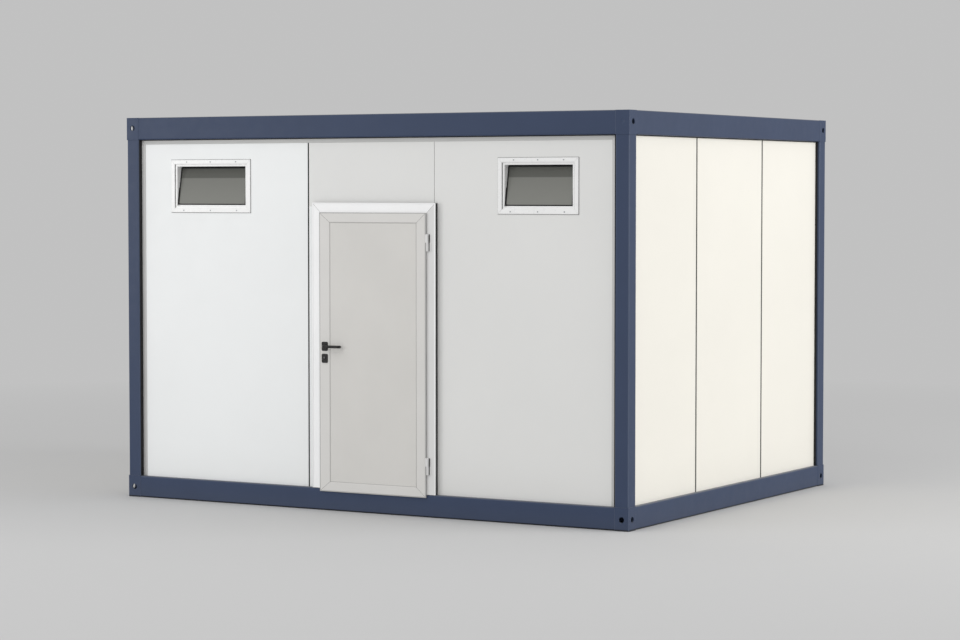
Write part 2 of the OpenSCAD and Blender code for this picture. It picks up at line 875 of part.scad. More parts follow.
// Front outline of a stile on the left, mitred from the leaf's corners to the infill's
module stile_outline(width) {
  polygon([
    [-leaf_half, leaf_bottom + mitre_shift],
    [width - leaf_half, leaf_bottom + rail_h + mitre_shift],
    [width - leaf_half, leaf_top - rail_h - mitre_shift],
    [-leaf_half, leaf_top - mitre_shift]
  ]);
}

// Front outline of a rail along the line z = 0, with the infill above it
module rail_outline() {
  polygon([
    [mitre_shift - leaf_half, 0],
    [lock_stile_w + mitre_shift - leaf_half, rail_h],
    [leaf_half - hinge_stile_w - mitre_shift, rail_h],
    [leaf_half - mitre_shift, 0]
  ]);
}

// A stile on the left, with its core cut off above the threshold
module leaf_side(width) {
  difference() {
    mitred_leaf_member() {
      translate([-leaf_half, 0, leaf_bottom]) linear_extrude(leaf_top - leaf_bottom)
        leaf_profile(width, core_inset);
      stile_outline(width);
    }
    from_door() translate([-leaf_half, leaf_back, leaf_bottom - cut])
      cube([width + cut, core_back - leaf_back + cut, core_low - leaf_bottom + cut]);
  }
}

module leaf_left_stile() {
  difference() {
    leaf_side(lock_stile_w);
    from_door() translate([lever_x, leaf_face - cut, lever_z]) rotate([-90, 0, 0])
      cylinder(r = lever_hole_r, h = core_back - leaf_face + 2 * cut);
  }
}

module leaf_right_stile() {
  translate([2 * (door_x - half_l), 0, 0]) mirror([1, 0, 0]) leaf_side(hinge_stile_w);
}

module leaf_top_rail() {
  mitred_leaf_member() {
    translate([-leaf_half, 0, leaf_top]) along_x(2 * leaf_half) rotate(-90)
      leaf_profile(rail_h, core_inset);
    translate([0, leaf_top]) mirror([0, 1]) rail_outline();
  }
}

module leaf_bottom_rail() {
  mitred_leaf_member() {
    translate([-leaf_half, 0, leaf_bottom]) along_x(2 * leaf_half)
      mirror([1, -1]) leaf_profile(rail_h, core_low - leaf_bottom);
    translate([0, leaf_bottom]) rail_outline();
  }
}

module leaf_infill() {
  left = lock_stile_w - leaf_half;
  low = leaf_bottom + rail_h;
  color(leaf_grey) from_door() translate([left, leaf_face + infill_recess, low]) cube([
    leaf_half - hinge_stile_w - left,
    core_back - leaf_face - 2 * infill_recess,
    leaf_top - rail_h - low
  ]);
}

// Grey seal round the leaf's edge, cut away where the hinge plates pass
module leaf_edge_seal() {
  high = leaf_top - leaf_bottom;
  color(seal_grey) from_door() difference() {
    front_to_back(leaf_face + leaf_seal_recess, leaf_back) difference() {
      translate([-leaf_half, leaf_bottom]) square([2 * leaf_half, high]);
      translate([leaf_seal_w - leaf_half, leaf_bottom + leaf_seal_w])
        square([2 * (leaf_half - leaf_seal_w), high - 2 * leaf_seal_w]);
    }
    for (z = hinge_zs)
      translate([leaf_half - leaf_seal_w - cut, leaf_face - cut, z + hinge_clear / 2])
        cube([leaf_seal_w + 2 * cut, leaf_lip_t + 2 * cut, knuckle_h]);
  }
}

// Upper hinge halves, bored for the pins and welded to the leaf's edge
module hinge_leaf_halves() {
  bore_h = knuckle_h - hinge_plate_t;
  plate_x = leaf_half - leaf_seal_w;
  plate_h = knuckle_h - hinge_cap;
  color(frame_white) from_door() for (z = hinge_zs)
    translate([0, hinge_y, z + hinge_clear / 2]) difference() {
      union() {
        translate([hinge_x, 0, knuckle_h]) mirror([0, 0, 1]) hinge_barrel(knuckle_h);
        translate([plate_x, -hinge_plate_t / 2, 0]) cube([hinge_x - plate_x, hinge_plate_t, plate_h]);
      }
      translate([hinge_x, 0, -cut]) cylinder(r = hinge_pin_r + hinge_clear, h = bore_h + cut);
    }
}

// A rose plate on the outside of the leaf, round its own middle, with a stepped edge
module rose_plate() {
  middle = [-rose_w / 2, -rose_h / 2];
  front_to_back(leaf_face - rose_t + rose_step, leaf_face)
    translate(middle) rounded_rect(rose_w, rose_h, rose_r);
  front_to_back(leaf_face - rose_t, leaf_face) translate(middle + [rose_step, rose_step])
    rounded_rect(rose_w - 2 * rose_step, rose_h - 2 * rose_step, rose_r - rose_step);
}

// Repeats a piece drawn on the outside of the leaf on its inside too
module both_leaf_faces() {
  children();
  translate([0, leaf_face + core_back, 0]) mirror([0, 1, 0]) children();
}

module handle_roses() {
  color(near_black) from_door() translate([lever_x, 0, lever_z]) both_leaf_faces() difference() {
    rose_plate();
    translate([0, leaf_face - rose_t - cut, 0]) rotate([-90, 0, 0])
      cylinder(r = lever_hole_r, h = rose_t + 2 * cut);
  }
}

// The front outline of a profile cylinder, with its round part uppermost
module lock_outline() {
  rise = (lock_foot_l - lock_r) / 2;
  foot_low = lock_foot_w / 2 - lock_foot_l;
  translate([0, rise]) difference() {
    union() {
      circle(lock_r);
      translate([-lock_foot_w / 2, foot_low]) square([lock_foot_w, -foot_low]);
      translate([0, foot_low]) circle(d = lock_foot_w);
    }
    translate([-keyway_w / 2, -keyway_h / 2]) square([keyway_w, keyway_h]);
  }
}

module lock_roses() {
  color(near_black) from_door() translate([lever_x, 0, lever_z - lock_drop]) both_leaf_faces() {
    rose_plate();
    front_to_back(leaf_face - rose_t - lock_out, leaf_face - rose_t) lock_outline();
  }
}

// Lever set

// A quarter bend of the lever's bar, from the +X side of its middle round to the +Y side
module lever_bend() {
  rotate_extrude(angle = 90) translate([lever_bend_r, 0]) circle(lever_r);
}

// A lever on the outside of the leaf, round its own axis: out of the leaf, along it and back at the tip
module lever() {
  bar_y = leaf_face - lever_out + lever_r;
  bend_y = bar_y + lever_bend_r;
  tip_x = lever_l - lever_r;
  tip_y = leaf_face - lever_tip_gap - lever_r;
  translate([0, bend_y, 0]) rotate([-90, 0, 0]) cylinder(r = lever_r, h = leaf_face - bend_y);
  translate([lever_bend_r, bend_y, 0]) rotate(180) lever_bend();
  translate([lever_bend_r, bar_y, 0]) rotate([0, 90, 0])
    cylinder(r = lever_r, h = tip_x - 2 * lever_bend_r);
  translate([tip_x - lever_bend_r, bend_y, 0]) rotate(-90) lever_bend();
  translate([tip_x, bend_y, 0]) rotate([-90, 0, 0]) cylinder(r = lever_r, h = tip_y - bend_y);
  translate([tip_x, tip_y, 0]) sphere(lever_r);
}

module at_lever() {
  from_door() translate([lever_x, 0, lever_z]) children();
}

module outer_lever() {
  color(near_black) at_lever() lever();
}

module inner_lever() {
  color(near_black) at_lever() translate([0, leaf_face + core_back, 0]) mirror([0, 1, 0]) lever();
}

module lever_spindle() {
  color(zinc) at_lever() front_to_back(leaf_face, core_back) square(spindle_w, center = true);
}

bottom_corner_blocks();
top_corner_blocks();
corner_posts();
front_bottom_beam();
rear_bottom_beam();
left_bottom_beam();
right_bottom_beam();
front_top_beam();
rear_top_beam();
left_top_beam();
right_top_beam();
floor_joists();
floor_deck();
ceiling_panel();
roof_sheet();
front_left_wall();
front_right_wall();
door_head_wall();
door_side_wall();
right_wall_panels();
left_wall_panels();
rear_wall_panels();
wall_joint_seals();
window_frames();
window_sashes();
window_panes();
window_stays();
door_frame_head();
door_frame_left_jamb();
door_frame_right_jamb();
door_frame_gasket();
door_threshold();
hinge_frame_halves();
leaf_left_stile();
leaf_right_stile();
leaf_top_rail();
leaf_bottom_rail();
leaf_infill();
leaf_edge_seal();
hinge_leaf_halves();
handle_roses();
lock_roses();
outer_lever();
inner_lever();
lever_spindle();
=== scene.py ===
# %% [markdown]
# A toilet and shower container: a navy steel frame with pale sandwich panels, two vent windows and a door.
# The measured model comes in as a fixed frame. This lesson gives every surface its finish, adds the small
# fasteners and fittings, and sets up the floor, the light and the camera.

# %% Load the measured model
import math

import bpy
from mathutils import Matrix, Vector


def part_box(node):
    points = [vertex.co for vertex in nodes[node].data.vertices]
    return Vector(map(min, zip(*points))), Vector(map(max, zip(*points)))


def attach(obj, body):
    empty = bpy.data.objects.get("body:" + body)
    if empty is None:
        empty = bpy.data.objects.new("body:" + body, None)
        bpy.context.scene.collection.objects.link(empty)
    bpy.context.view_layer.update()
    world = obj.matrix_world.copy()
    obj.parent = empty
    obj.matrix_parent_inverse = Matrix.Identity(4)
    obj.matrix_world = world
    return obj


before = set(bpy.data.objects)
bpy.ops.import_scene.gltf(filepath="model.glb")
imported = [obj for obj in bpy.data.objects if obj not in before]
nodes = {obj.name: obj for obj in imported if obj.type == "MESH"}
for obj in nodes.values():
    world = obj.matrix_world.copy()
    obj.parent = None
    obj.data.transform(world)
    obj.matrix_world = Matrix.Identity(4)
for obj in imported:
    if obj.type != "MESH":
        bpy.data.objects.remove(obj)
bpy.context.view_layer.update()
scene = bpy.context.scene
scene.view_settings.view_transform = "Standard"

# %% [markdown]
# The photograph was taken with a long lens, a little above head height and far to the right of the front.
# The three sets of parallel edges give the camera's turn, height and distance, so they are written as real
# sizes here and not tuned by eye.

# %% Camera
CAMERA_PLACE = (10.1537, -17.4680, 2.2696)
CAMERA_TURN = math.radians(30.228)
CAMERA_DIP = math.radians(2.774)
LENS_MM = 100.58

camera_data = bpy.data.cameras.new("camera")
camera_data.lens = LENS_MM
camera_data.sensor_width = 36.0
camera_data.clip_end = 200.0
camera = bpy.data.objects.new("camera", camera_data)
camera.location = CAMERA_PLACE
camera.rotation_euler = (math.radians(90) - CAMERA_DIP, 0, CAMERA_TURN)
scene.collection.objects.link(camera)
scene.camera = camera
print("camera at", CAMERA_PLACE, "with a", LENS_MM, "mm lens")

# %% [markdown]
# Materials are node trees, and each finish below is one function. All of them start the same way: a shader with
# its constant gloss, metal and specular values on its own sockets, and Object coordinates to place the pattern.
# Object coordinates are in metres and move with the piece, so a scale of 400 means grains of about 2.5 mm, also
# when the door is open.

# %% Start a material


def start_material(name, roughness, metallic=0.0, specular=0.5):
    material = bpy.data.materials.new(name)
    material.use_nodes = True
    tree = material.node_tree
    shader = tree.nodes["Principled BSDF"]
    shader.inputs["Roughness"].default_value = roughness
    shader.inputs["Metallic"].default_value = metallic
    shader.inputs["Specular IOR Level"].default_value = specular
    place = tree.nodes.new("ShaderNodeTexCoord").outputs["Object"]
    return material, tree, shader, place


# %% [markdown]
# Real surfaces vary in patches. A noise gives a value from 0 to 1 at every point, and a Map Range spreads the wanted
# part of it over a gloss or a share. A colour ramp could do that too, but a range needs only four numbers. Two more
# helpers do sums and split a place or a direction into its parts, such as the height.

# %% Noises, ranges and sums


def add_noise(tree, place, scale, detail=2.0, stretch=(1, 1, 1)):
    mapping = tree.nodes.new("ShaderNodeMapping")
    mapping.inputs["Scale"].default_value = stretch
    noise = tree.nodes.new("ShaderNodeTexNoise")
    noise.inputs["Scale"].default_value = scale
    noise.inputs["Detail"].default_value = detail
    tree.links.new(place, mapping.inputs["Vector"])
    tree.links.new(mapping.outputs["Vector"], noise.inputs["Vector"])
    return noise.outputs["Fac"]


def spread(tree, value, from_low, from_high, to_low, to_high):
    span = tree.nodes.new("ShaderNodeMapRange")
    for name, number in (("From Min", from_low), ("From Max", from_high), ("To Min", to_low), ("To Max", to_high)):
        span.inputs[name].default_value = number
    tree.links.new(value, span.inputs["Value"])
    return span.outputs["Result"]


def add_math(tree, operation, *values):
    sum_node = tree.nodes.new("ShaderNodeMath")
    sum_node.operation = operation
    for socket, value in zip(sum_node.inputs, values):
        if isinstance(value, float):
            socket.default_value = value
        else:
            tree.links.new(value, socket)
    return sum_node.outputs[0]


def split_parts(tree, vector):
    split = tree.nodes.new("ShaderNodeSeparateXYZ")
    tree.links.new(vector, split.inputs["Vector"])
    return split.outputs["X"], split.outputs["Y"], split.outputs["Z"]


def height_of(tree, place):
    return split_parts(tree, place)[2]


# %% [markdown]
# The last three helpers mix two colours by such a share, tint a colour by a factor, and turn a noise into a bump. A
# bump only bends the shading, so it is kept for grain that is far too fine to model.

# %% Colours and bumps


def mix_colours(tree, share, first, second):
    mix = tree.nodes.new("ShaderNodeMix")
    mix.data_type = "RGBA"
    for socket, colour in ((mix.inputs[6], first), (mix.inputs[7], second)):
        if isinstance(colour, tuple):
            socket.default_value = (*colour, 1.0)
        else:
            tree.links.new(colour, socket)
    tree.links.new(share, mix.inputs[0])
    return mix.outputs[2]


def tint(colour, factor):
    return tuple(factor * channel for channel in colour)


def add_bump(tree, shader, height, strength, distance):
    bump = tree.nodes.new("ShaderNodeBump")
    bump.inputs["Strength"].default_value = strength
    bump.inputs["Distance"].default_value = distance
    tree.links.new(height, bump.inputs["Height"])
    tree.links.new(bump.outputs["Normal"], shader.inputs["Normal"])


# %% [markdown]
# The frame is cold-formed steel with a sprayed coat of navy paint. Spray paint dries with a faint orange peel
# and a cloudy gloss. The lowest hand's breadth collects dust from the ground. Every ledge that faces up is painted
# paler, partly dust and partly painted light from above. A thin dark band at the very foot is a painted contact
# shadow, and the upright bends are painted paler as a painted highlight. The colour, the gloss and the bump come
# from noises of three sizes, because one noise alone looks like a pattern. The surface's own normal tells which
# faces are ledges and which are bends.

# %% Navy frame paint
NAVY = (0.0365, 0.0555, 0.1095)
ROAD_DUST = (0.105, 0.110, 0.120)
# The ledge colour is partly dust and partly painted light, the foot colour is a painted contact shadow, and the bend
# colour is a painted highlight.
LEDGE_DUST_AND_LIGHT = (0.190, 0.195, 0.205)
FOOT_SHADOW = (0.012, 0.013, 0.016)
BEND_HIGHLIGHT = (0.100, 0.125, 0.185)
DUST_TOP, FOOT_SHADOW_FULL, FOOT_SHADOW_TOP = 0.12, 0.008, 0.013


def make_navy_paint():
    material, tree, shader, place = start_material("navy_frame_paint", 0.45, specular=0.30)
    clouds = add_noise(tree, place, 3.0, 4.0)
    coat = mix_colours(tree, spread(tree, clouds, 0.3, 0.7, 0, 1), tint(NAVY, 0.97), tint(NAVY, 1.04))
    height = height_of(tree, place)
    coat = mix_colours(tree, spread(tree, height, 0.0, DUST_TOP, 0.12, 0.0), coat, ROAD_DUST)
    # Painted contact shadow: the very foot is painted nearly black, fading out a few millimetres up.
    coat = mix_colours(tree, spread(tree, height, FOOT_SHADOW_FULL, FOOT_SHADOW_TOP, 0.9, 0.0), coat, FOOT_SHADOW)
    facing = tree.nodes.new("ShaderNodeNewGeometry").outputs["Normal"]
    facing_x, facing_y, facing_z = split_parts(tree, facing)
    # Up-facing ledges are painted paler: partly dust, partly painted light from above.
    coat = mix_colours(tree, spread(tree, facing_z, 0.35, 0.95, 0.0, 0.55), coat, LEDGE_DUST_AND_LIGHT)
    # Painted highlight: the upright bends of the frame are painted paler, where they would catch the light.
    bend = add_math(tree, "ABSOLUTE", add_math(tree, "MULTIPLY", facing_x, facing_y))
    coat = mix_colours(tree, spread(tree, bend, 0.15, 0.45, 0.0, 0.6), coat, BEND_HIGHLIGHT)
    tree.links.new(coat, shader.inputs["Base Color"])
    gloss = spread(tree, add_noise(tree, place, 14.0, 3.0), 0.3, 0.7, 0.42, 0.48)
    tree.links.new(gloss, shader.inputs["Roughness"])
    add_bump(tree, shader, add_noise(tree, place, 420.0), 0.10, 0.0006)
    return material


navy_paint = make_navy_paint()
print("made", navy_paint.name)

# %% [markdown]
# The walls are sandwich panels with a coated sheet skin. Thin sheet on foam is never quite flat, so a slow
# wave bends the reflections, and a fine grain from the coil coating breaks the gloss. Rain splashes leave a
# faint tone at the foot. One function makes the panels of the front, the brighter left panel, the warm side
# walls and the ceiling, because only the colour differs.

# %% Coated wall sheet
FRONT_WHITE = (0.768, 0.768, 0.754)
LEFT_WHITE = (0.885, 0.900, 0.900)
WARM_WHITE = (0.862, 0.836, 0.763)
WALL_SPLASH = (0.52, 0.50, 0.46)
SPLASH_FOOT, SPLASH_TOP = 0.158, 0.42


def make_wall_sheet(name, colour, roughness):
    material, tree, shader, place = start_material(name, roughness)
    clouds = add_noise(tree, place, 1.1, 3.0)
    sheet = mix_colours(tree, spread(tree, clouds, 0.3, 0.7, 0, 1), tint(colour, 0.985), tint(colour, 1.01))
    splash = spread(tree, height_of(tree, place), SPLASH_FOOT, SPLASH_TOP, 0.06, 0.0)
    sheet = mix_colours(tree, splash, sheet, WALL_SPLASH)
    tree.links.new(sheet, shader.inputs["Base Color"])
    gloss = spread(tree, add_noise(tree, place, 9.0, 2.0), 0.3, 0.7, roughness - 0.04, roughness + 0.05)
    tree.links.new(gloss, shader.inputs["Roughness"])
    waves = add_noise(tree, place, 1.6, 1.0, (1, 1, 0.35))
    grain = add_noise(tree, place, 650.0, 1.0)
    add_bump(tree, shader, add_math(tree, "MULTIPLY_ADD", waves, 6.0, grain), 0.12, 0.0004)
    return material


front_sheet = make_wall_sheet("front_wall_sheet", FRONT_WHITE, 0.45)
left_sheet = make_wall_sheet("front_left_wall_sheet", LEFT_WHITE, 0.45)
side_sheet = make_wall_sheet("side_wall_sheet", WARM_WHITE, 0.45)
print("made", [m.name for m in (front_sheet, left_sheet, side_sheet)])

# %% [markdown]
# Door and windows have five light finishes. The door frame is powder coated, which leaves a fine even texture.
# Its hinge jamb and the hinges get a greyer copy of that coat, a painted shade for the shadow that falls on that
# jamb. The leaf is greyer again, with a slightly duller infill sheet. The window frames are extruded white plastic,
# smoother and glossier.

# %% Powder coats and window plastic
FRAME_WHITE = (0.945, 0.947, 0.949)
JAMB_SHADE_GREY = (0.740, 0.738, 0.732)
LEAF_GREY = (0.696, 0.684, 0.662)
INFILL_GREY = (0.672, 0.658, 0.630)
WINDOW_WHITE = (0.895, 0.895, 0.890)


def make_powder_coat(name, colour, roughness, grain_scale, grain_strength):
    material, tree, shader, place = start_material(name, roughness)
    clouds = add_noise(tree, place, 2.4, 3.0)
    coat = mix_colours(tree, spread(tree, clouds, 0.3, 0.7, 0, 1), tint(colour, 0.975), tint(colour, 1.015))
    tree.links.new(coat, shader.inputs["Base Color"])
    gloss = spread(tree, add_noise(tree, place, 30.0, 2.0), 0.3, 0.7, roughness - 0.05, roughness + 0.05)
    tree.links.new(gloss, shader.inputs["Roughness"])
    add_bump(tree, shader, add_noise(tree, place, grain_scale, 1.0), grain_strength, 0.0003)
    return material


door_frame_coat = make_powder_coat("door_frame_coat", FRAME_WHITE, 0.40, 900.0, 0.10)
# A greyer copy of the door frame's coat: painted shade on the hinge jamb and the hinges.
jamb_shade_coat = make_powder_coat("hinge_jamb_painted_shade", JAMB_SHADE_GREY, 0.42, 900.0, 0.10)
leaf_coat = make_powder_coat("leaf_profile_coat", LEAF_GREY, 0.46, 900.0, 0.12)
infill_coat = make_powder_coat("leaf_infill_coat", INFILL_GREY, 0.50, 700.0, 0.12)
window_plastic = make_powder_coat("window_frame_plastic", WINDOW_WHITE, 0.30, 260.0, 0.03)
print("made", [m.name for m in (door_frame_coat, jamb_shade_coat, leaf_coat, infill_coat, window_plastic)])

# %% [markdown]
# Rubber is almost black and matt, with a dusty bloom that lightens it in patches. The black rubber is also used as
# painted shade, on the shaded sides of the front posts, under the top beam and beside the hinges. The seal round the
# leaf is the same rubber in grey, a painted shade for the shaded gap round the leaf. The lever set is black coated
# metal: darker still, but with a satin gloss.

# %% Rubber and black metal
SEAL_AND_SHADE_BLACK = (0.014, 0.014, 0.015)
SEAL_SHADE_GREY = (0.460, 0.458, 0.450)
HANDLE_BLACK = (0.015, 0.014, 0.014)


def make_rubber(name, colour, bloom):
    material, tree, shader, place = start_material(name, 0.7, specular=0.3)
    patches = spread(tree, add_noise(tree, place, 25.0, 4.0), 0.4, 0.75, 0.0, 0.35)
    tree.links.new(mix_colours(tree, patches, colour, bloom), shader.inputs["Base Color"])
    gloss = spread(tree, add_noise(tree, place, 60.0, 2.0), 0.3, 0.7, 0.62, 0.82)
    tree.links.new(gloss, shader.inputs["Roughness"])
    add_bump(tree, shader, add_noise(tree, place, 800.0, 2.0), 0.15, 0.0004)
    return material


def make_handle_black():
    material, tree, shader, place = start_material("handle_black", 0.34, specular=0.30)
    clouds = spread(tree, add_noise(tree, place, 40.0, 3.0), 0.3, 0.7, 0, 1)
    tree.links.new(mix_colours(tree, clouds, HANDLE_BLACK, tint(HANDLE_BLACK, 1.5)), shader.inputs["Base Color"])
    gloss = spread(tree, add_noise(tree, place, 90.0, 2.0), 0.3, 0.7, 0.28, 0.42)
    tree.links.new(gloss, shader.inputs["Roughness"])
    add_bump(tree, shader, add_noise(tree, place, 1500.0, 1.0), 0.08, 0.0002)
    return material


# Black rubber for real seals, and also as painted shade in shaded gaps.
black_rubber_and_shade = make_rubber("black_seal_and_shade_rubber", SEAL_AND_SHADE_BLACK, (0.030, 0.030, 0.030))
# Grey rubber for the leaf's edge seal, darker than the leaf as painted shade in the gap round it.
leaf_seal_shade_rubber = make_rubber("leaf_seal_painted_shade", SEAL_SHADE_GREY, (0.42, 0.42, 0.41))
handle_black = make_handle_black()
print("made", [m.name for m in (black_rubber_and_shade, leaf_seal_shade_rubber, handle_black)])

# %% [markdown]
# The roof sheet, the joists and the threshold are hot-dip galvanised. Zinc freezes in angular flakes, called
# spangle, that each reflect a little differently. A Voronoi texture gives one value to each flake, which
# shifts both colour and roughness.

# %% Galvanised steel and bright screws
ZINC = (0.500, 0.515, 0.525)


def make_zinc(name, tone, flake_scale, low_gloss, high_gloss):
    material, tree, shader, place = start_material(name, 0.45, metallic=0.75)
    flakes = tree.nodes.new("ShaderNodeTexVoronoi")
    flakes.inputs["Scale"].default_value = flake_scale
    tree.links.new(place, flakes.inputs["Vector"])
    flake = tree.nodes.new("ShaderNodeRGBToBW")
    tree.links.new(flakes.outputs["Color"], flake.inputs["Color"])
    stains = add_noise(tree, place, 2.0, 5.0)
    spangle = mix_colours(tree, flake.outputs["Val"], tint(ZINC, 0.86 * tone), tint(ZINC, 1.12 * tone))
    aged = mix_colours(tree, spread(tree, stains, 0.45, 0.75, 0.0, 0.4), spangle, tint(ZINC, 0.78 * tone))
    tree.links.new(aged, shader.inputs["Base Color"])
    gloss = spread(tree, flake.outputs["Val"], 0, 1, low_gloss, high_gloss)
    tree.links.new(gloss, shader.inputs["Roughness"])
    add_bump(tree, shader, flake.outputs["Val"], 0.05, 0.0004)
    return material


zinc = make_zinc("galvanised_sheet", 1.0, 70.0, 0.38, 0.56)
screw_steel = make_zinc("screw_steel", 1.0, 900.0, 0.25, 0.35)
plug_steel = make_zinc("lock_plug_steel", 0.3, 900.0, 0.30, 0.40)
print("made", [m.name for m in (zinc, screw_steel, plug_steel)])

# %% [markdown]
# The panes are frosted, so they show as a soft grey with no picture behind. The upper part of each pane is painted
# much darker, with a straight lower edge: a painted shade. Below it the grey is painted lighter towards the foot: a
# painted light. The pane's own height sets that band. The floor covering is a speckled sheet vinyl.

# %% Frosted panes and floor covering
PANE_GREY = (0.212, 0.214, 0.197)
PANE_SHADE = (0.116, 0.118, 0.107)
SHADE_BAND_SHARE = 0.27
VINYL_GREY = (0.300, 0.308, 0.310)


def make_frosted_pane():
    material, tree, shader, place = start_material("frosted_pane", 0.50, specular=0.12)
    low, high = (corner.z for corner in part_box("window_panes"))
    edge = high - SHADE_BAND_SHARE * (high - low)
    height = height_of(tree, place)
    # Painted light: the grey is painted lighter towards the pane's foot.
    painted_light_gradient = mix_colours(tree, spread(tree, height, low, edge, 0, 1), tint(PANE_GREY, 1.10), tint(PANE_GREY, 0.95))
    # Painted shade: the upper band is painted dark, with a sharp lower edge.
    shade_band = spread(tree, height, edge - 0.003, edge + 0.003, 0, 1)
    tree.links.new(mix_colours(tree, shade_band, painted_light_gradient, PANE_SHADE), shader.inputs["Base Color"])
    gloss = spread(tree, add_noise(tree, place, 45.0, 3.0), 0.3, 0.7, 0.44, 0.58)
    tree.links.new(gloss, shader.inputs["Roughness"])
    add_bump(tree, shader, add_noise(tree, place, 520.0, 2.0), 0.20, 0.0003)
    return material


def make_vinyl():
    material, tree, shader, place = start_material("floor_vinyl", 0.5)
    specks = spread(tree, add_noise(tree, place, 320.0, 1.0), 0.56, 0.62, 0, 1)
    flakes = spread(tree, add_noise(tree, place, 190.0, 1.0), 0.60, 0.64, 0, 1)
    sheet = mix_colours(tree, specks, VINYL_GREY, tint(VINYL_GREY, 0.6))
    tree.links.new(mix_colours(tree, flakes, sheet, tint(VINYL_GREY, 1.5)), shader.inputs["Base Color"])
    add_bump(tree, shader, add_noise(tree, place, 500.0, 1.0), 0.10, 0.0004)
    return material


frosted_pane = make_frosted_pane()
floor_vinyl = make_vinyl()
print("made", frosted_pane.name, "and", floor_vinyl.name)

# %% [markdown]
# Every measured piece now gets its finish. The shapes stay as they are, and only the material slot changes.

# %% Finishes on the measured pieces
FINISHES = {
    navy_paint: ["bottom_corner_blocks", "top_corner_blocks", "corner_posts", "front_bottom_beam",
                 "rear_bottom_beam", "left_bottom_beam", "right_bottom_beam", "front_top_beam",
                 "rear_top_beam", "left_top_beam", "right_top_beam"],
    front_sheet: ["front_right_wall", "door_head_wall", "rear_wall_panels", "ceiling_panel"],
    left_sheet: ["front_left_wall", "door_side_wall"],
    side_sheet: ["right_wall_panels", "left_wall_panels"],
    window_plastic: ["window_frames"],
    frosted_pane: ["window_panes"],
    black_rubber_and_shade: ["wall_joint_seals", "window_sashes", "door_frame_gasket"],
    leaf_seal_shade_rubber: ["leaf_edge_seal"],
    handle_black: ["window_stays", "handle_roses", "lock_roses", "outer_lever", "inner_lever"],
    door_frame_coat: ["door_frame_head", "door_frame_left_jamb"],
    jamb_shade_coat: ["door_frame_right_jamb", "hinge_frame_halves", "hinge_leaf_halves"],
    leaf_coat: ["leaf_left_stile", "leaf_right_stile", "leaf_top_rail", "leaf_bottom_rail"],
    infill_coat: ["leaf_infill"],
    zinc: ["roof_sheet", "floor_joists", "door_threshold", "lever_spindle"],
    floor_vinyl: ["floor_deck"],
}

for finish, names in FINISHES.items():
    for name in names:
        nodes[name].data.materials.clear()
        nodes[name].data.materials.append(finish)
plain = set(nodes) - {name for names in FINISHES.values() for name in names}
print("finished", sum(len(names) for names in FINISHES.values()), "pieces; without a finish:", sorted(plain))

# %% [markdown]
# New pieces are modelled as by hand: a primitive at its size and place, then edit mode, then modifiers. Everything
# is deselected first, because an operator acts on all that is selected. These helpers add a bar, a disc or an
# upright sheet, and apply its place and scale, so that the object sits at the origin and its place is in its mesh.

# %% Start a piece


def start_clean():
    if bpy.context.object and bpy.context.object.mode != "OBJECT":
        bpy.ops.object.mode_set(mode="OBJECT")
    bpy.ops.object.select_all(action="DESELECT")


def keep_as(name):
    piece = bpy.context.object
    piece.name = piece.data.name = name
    bpy.ops.object.transform_apply(location=True, rotation=True, scale=True)
    return piece


def add_bar(name, low, high):
    start_clean()
    low, high = Vector(low), Vector(high)
    bpy.ops.mesh.primitive_cube_add(size=1.0, location=(low + high) / 2, scale=high - low)
    return keep_as(name)


def add_disc(name, middle, radius, thickness, turn=(math.radians(90), 0, 0), sides=12):
    start_clean()
    bpy.ops.mesh.primitive_cylinder_add(vertices=sides, radius=radius, depth=thickness,
                                        location=middle, rotation=turn)
    return keep_as(name)


def add_front_sheet(name, low, high, face_y):
    start_clean()
    middle = ((low[0] + high[0]) / 2, face_y, (low[1] + high[1]) / 2)
    bpy.ops.mesh.primitive_plane_add(size=1.0, location=middle, rotation=(math.radians(90), 0, 0))
    bpy.context.object.scale = (high[0] - low[0], high[1] - low[1], 1)
    return keep_as(name)


# %% [markdown]
# In edit mode, faces are picked in code by their place or normal, where a hand would click. After the edit all
# normals are made to point outwards. A modifier is applied at once, so that the next step works on real faces. Most
# pieces end with a bevel, because no real edge is quite sharp.

# %% Edit a piece


def pick_faces(piece, wanted):
    bpy.ops.object.mode_set(mode="EDIT")
    bpy.ops.mesh.select_mode(type="FACE")
    bpy.ops.mesh.select_all(action="DESELECT")
    bpy.ops.object.mode_set(mode="OBJECT")
    for face in piece.data.polygons:
        face.select = wanted(face)
    bpy.ops.object.mode_set(mode="EDIT")


def leave_edit():
    bpy.ops.mesh.select_all(action="SELECT")
    bpy.ops.mesh.normals_make_consistent(inside=False)
    bpy.ops.object.mode_set(mode="OBJECT")


def apply_modifier(piece, kind, **settings):
    modifier = piece.modifiers.new(kind.lower(), kind)
    for key, value in settings.items():
        setattr(modifier, key, value)
    bpy.context.view_layer.objects.active = piece
    bpy.ops.object.modifier_apply(modifier=modifier.name)


def soften(piece, width, segments=2):
    apply_modifier(piece, "BEVEL", width=width, segments=segments, limit_method="ANGLE")


# %% [markdown]
# What repeats is modelled once and copied, each copy with its own mesh, and small parts are joined into one piece. A
# finished piece gets its material, smooth shading across low angles, and the body that it moves with.

# %% Join and dress a piece


def join_pieces(pieces, name):
    start_clean()
    for piece in pieces:
        piece.select_set(True)
    bpy.context.view_layer.objects.active = pieces[0]
    if len(pieces) > 1:
        bpy.ops.object.join()
    return keep_as(name)


def join_copies(pattern, name, places):
    copies = []
    for place in places:
        copy = pattern.copy()
        copy.data = pattern.data.copy()
        copy.location = place
        scene.collection.objects.link(copy)
        copies.append(copy)
    bpy.data.objects.remove(pattern)
    return join_pieces(copies, name)


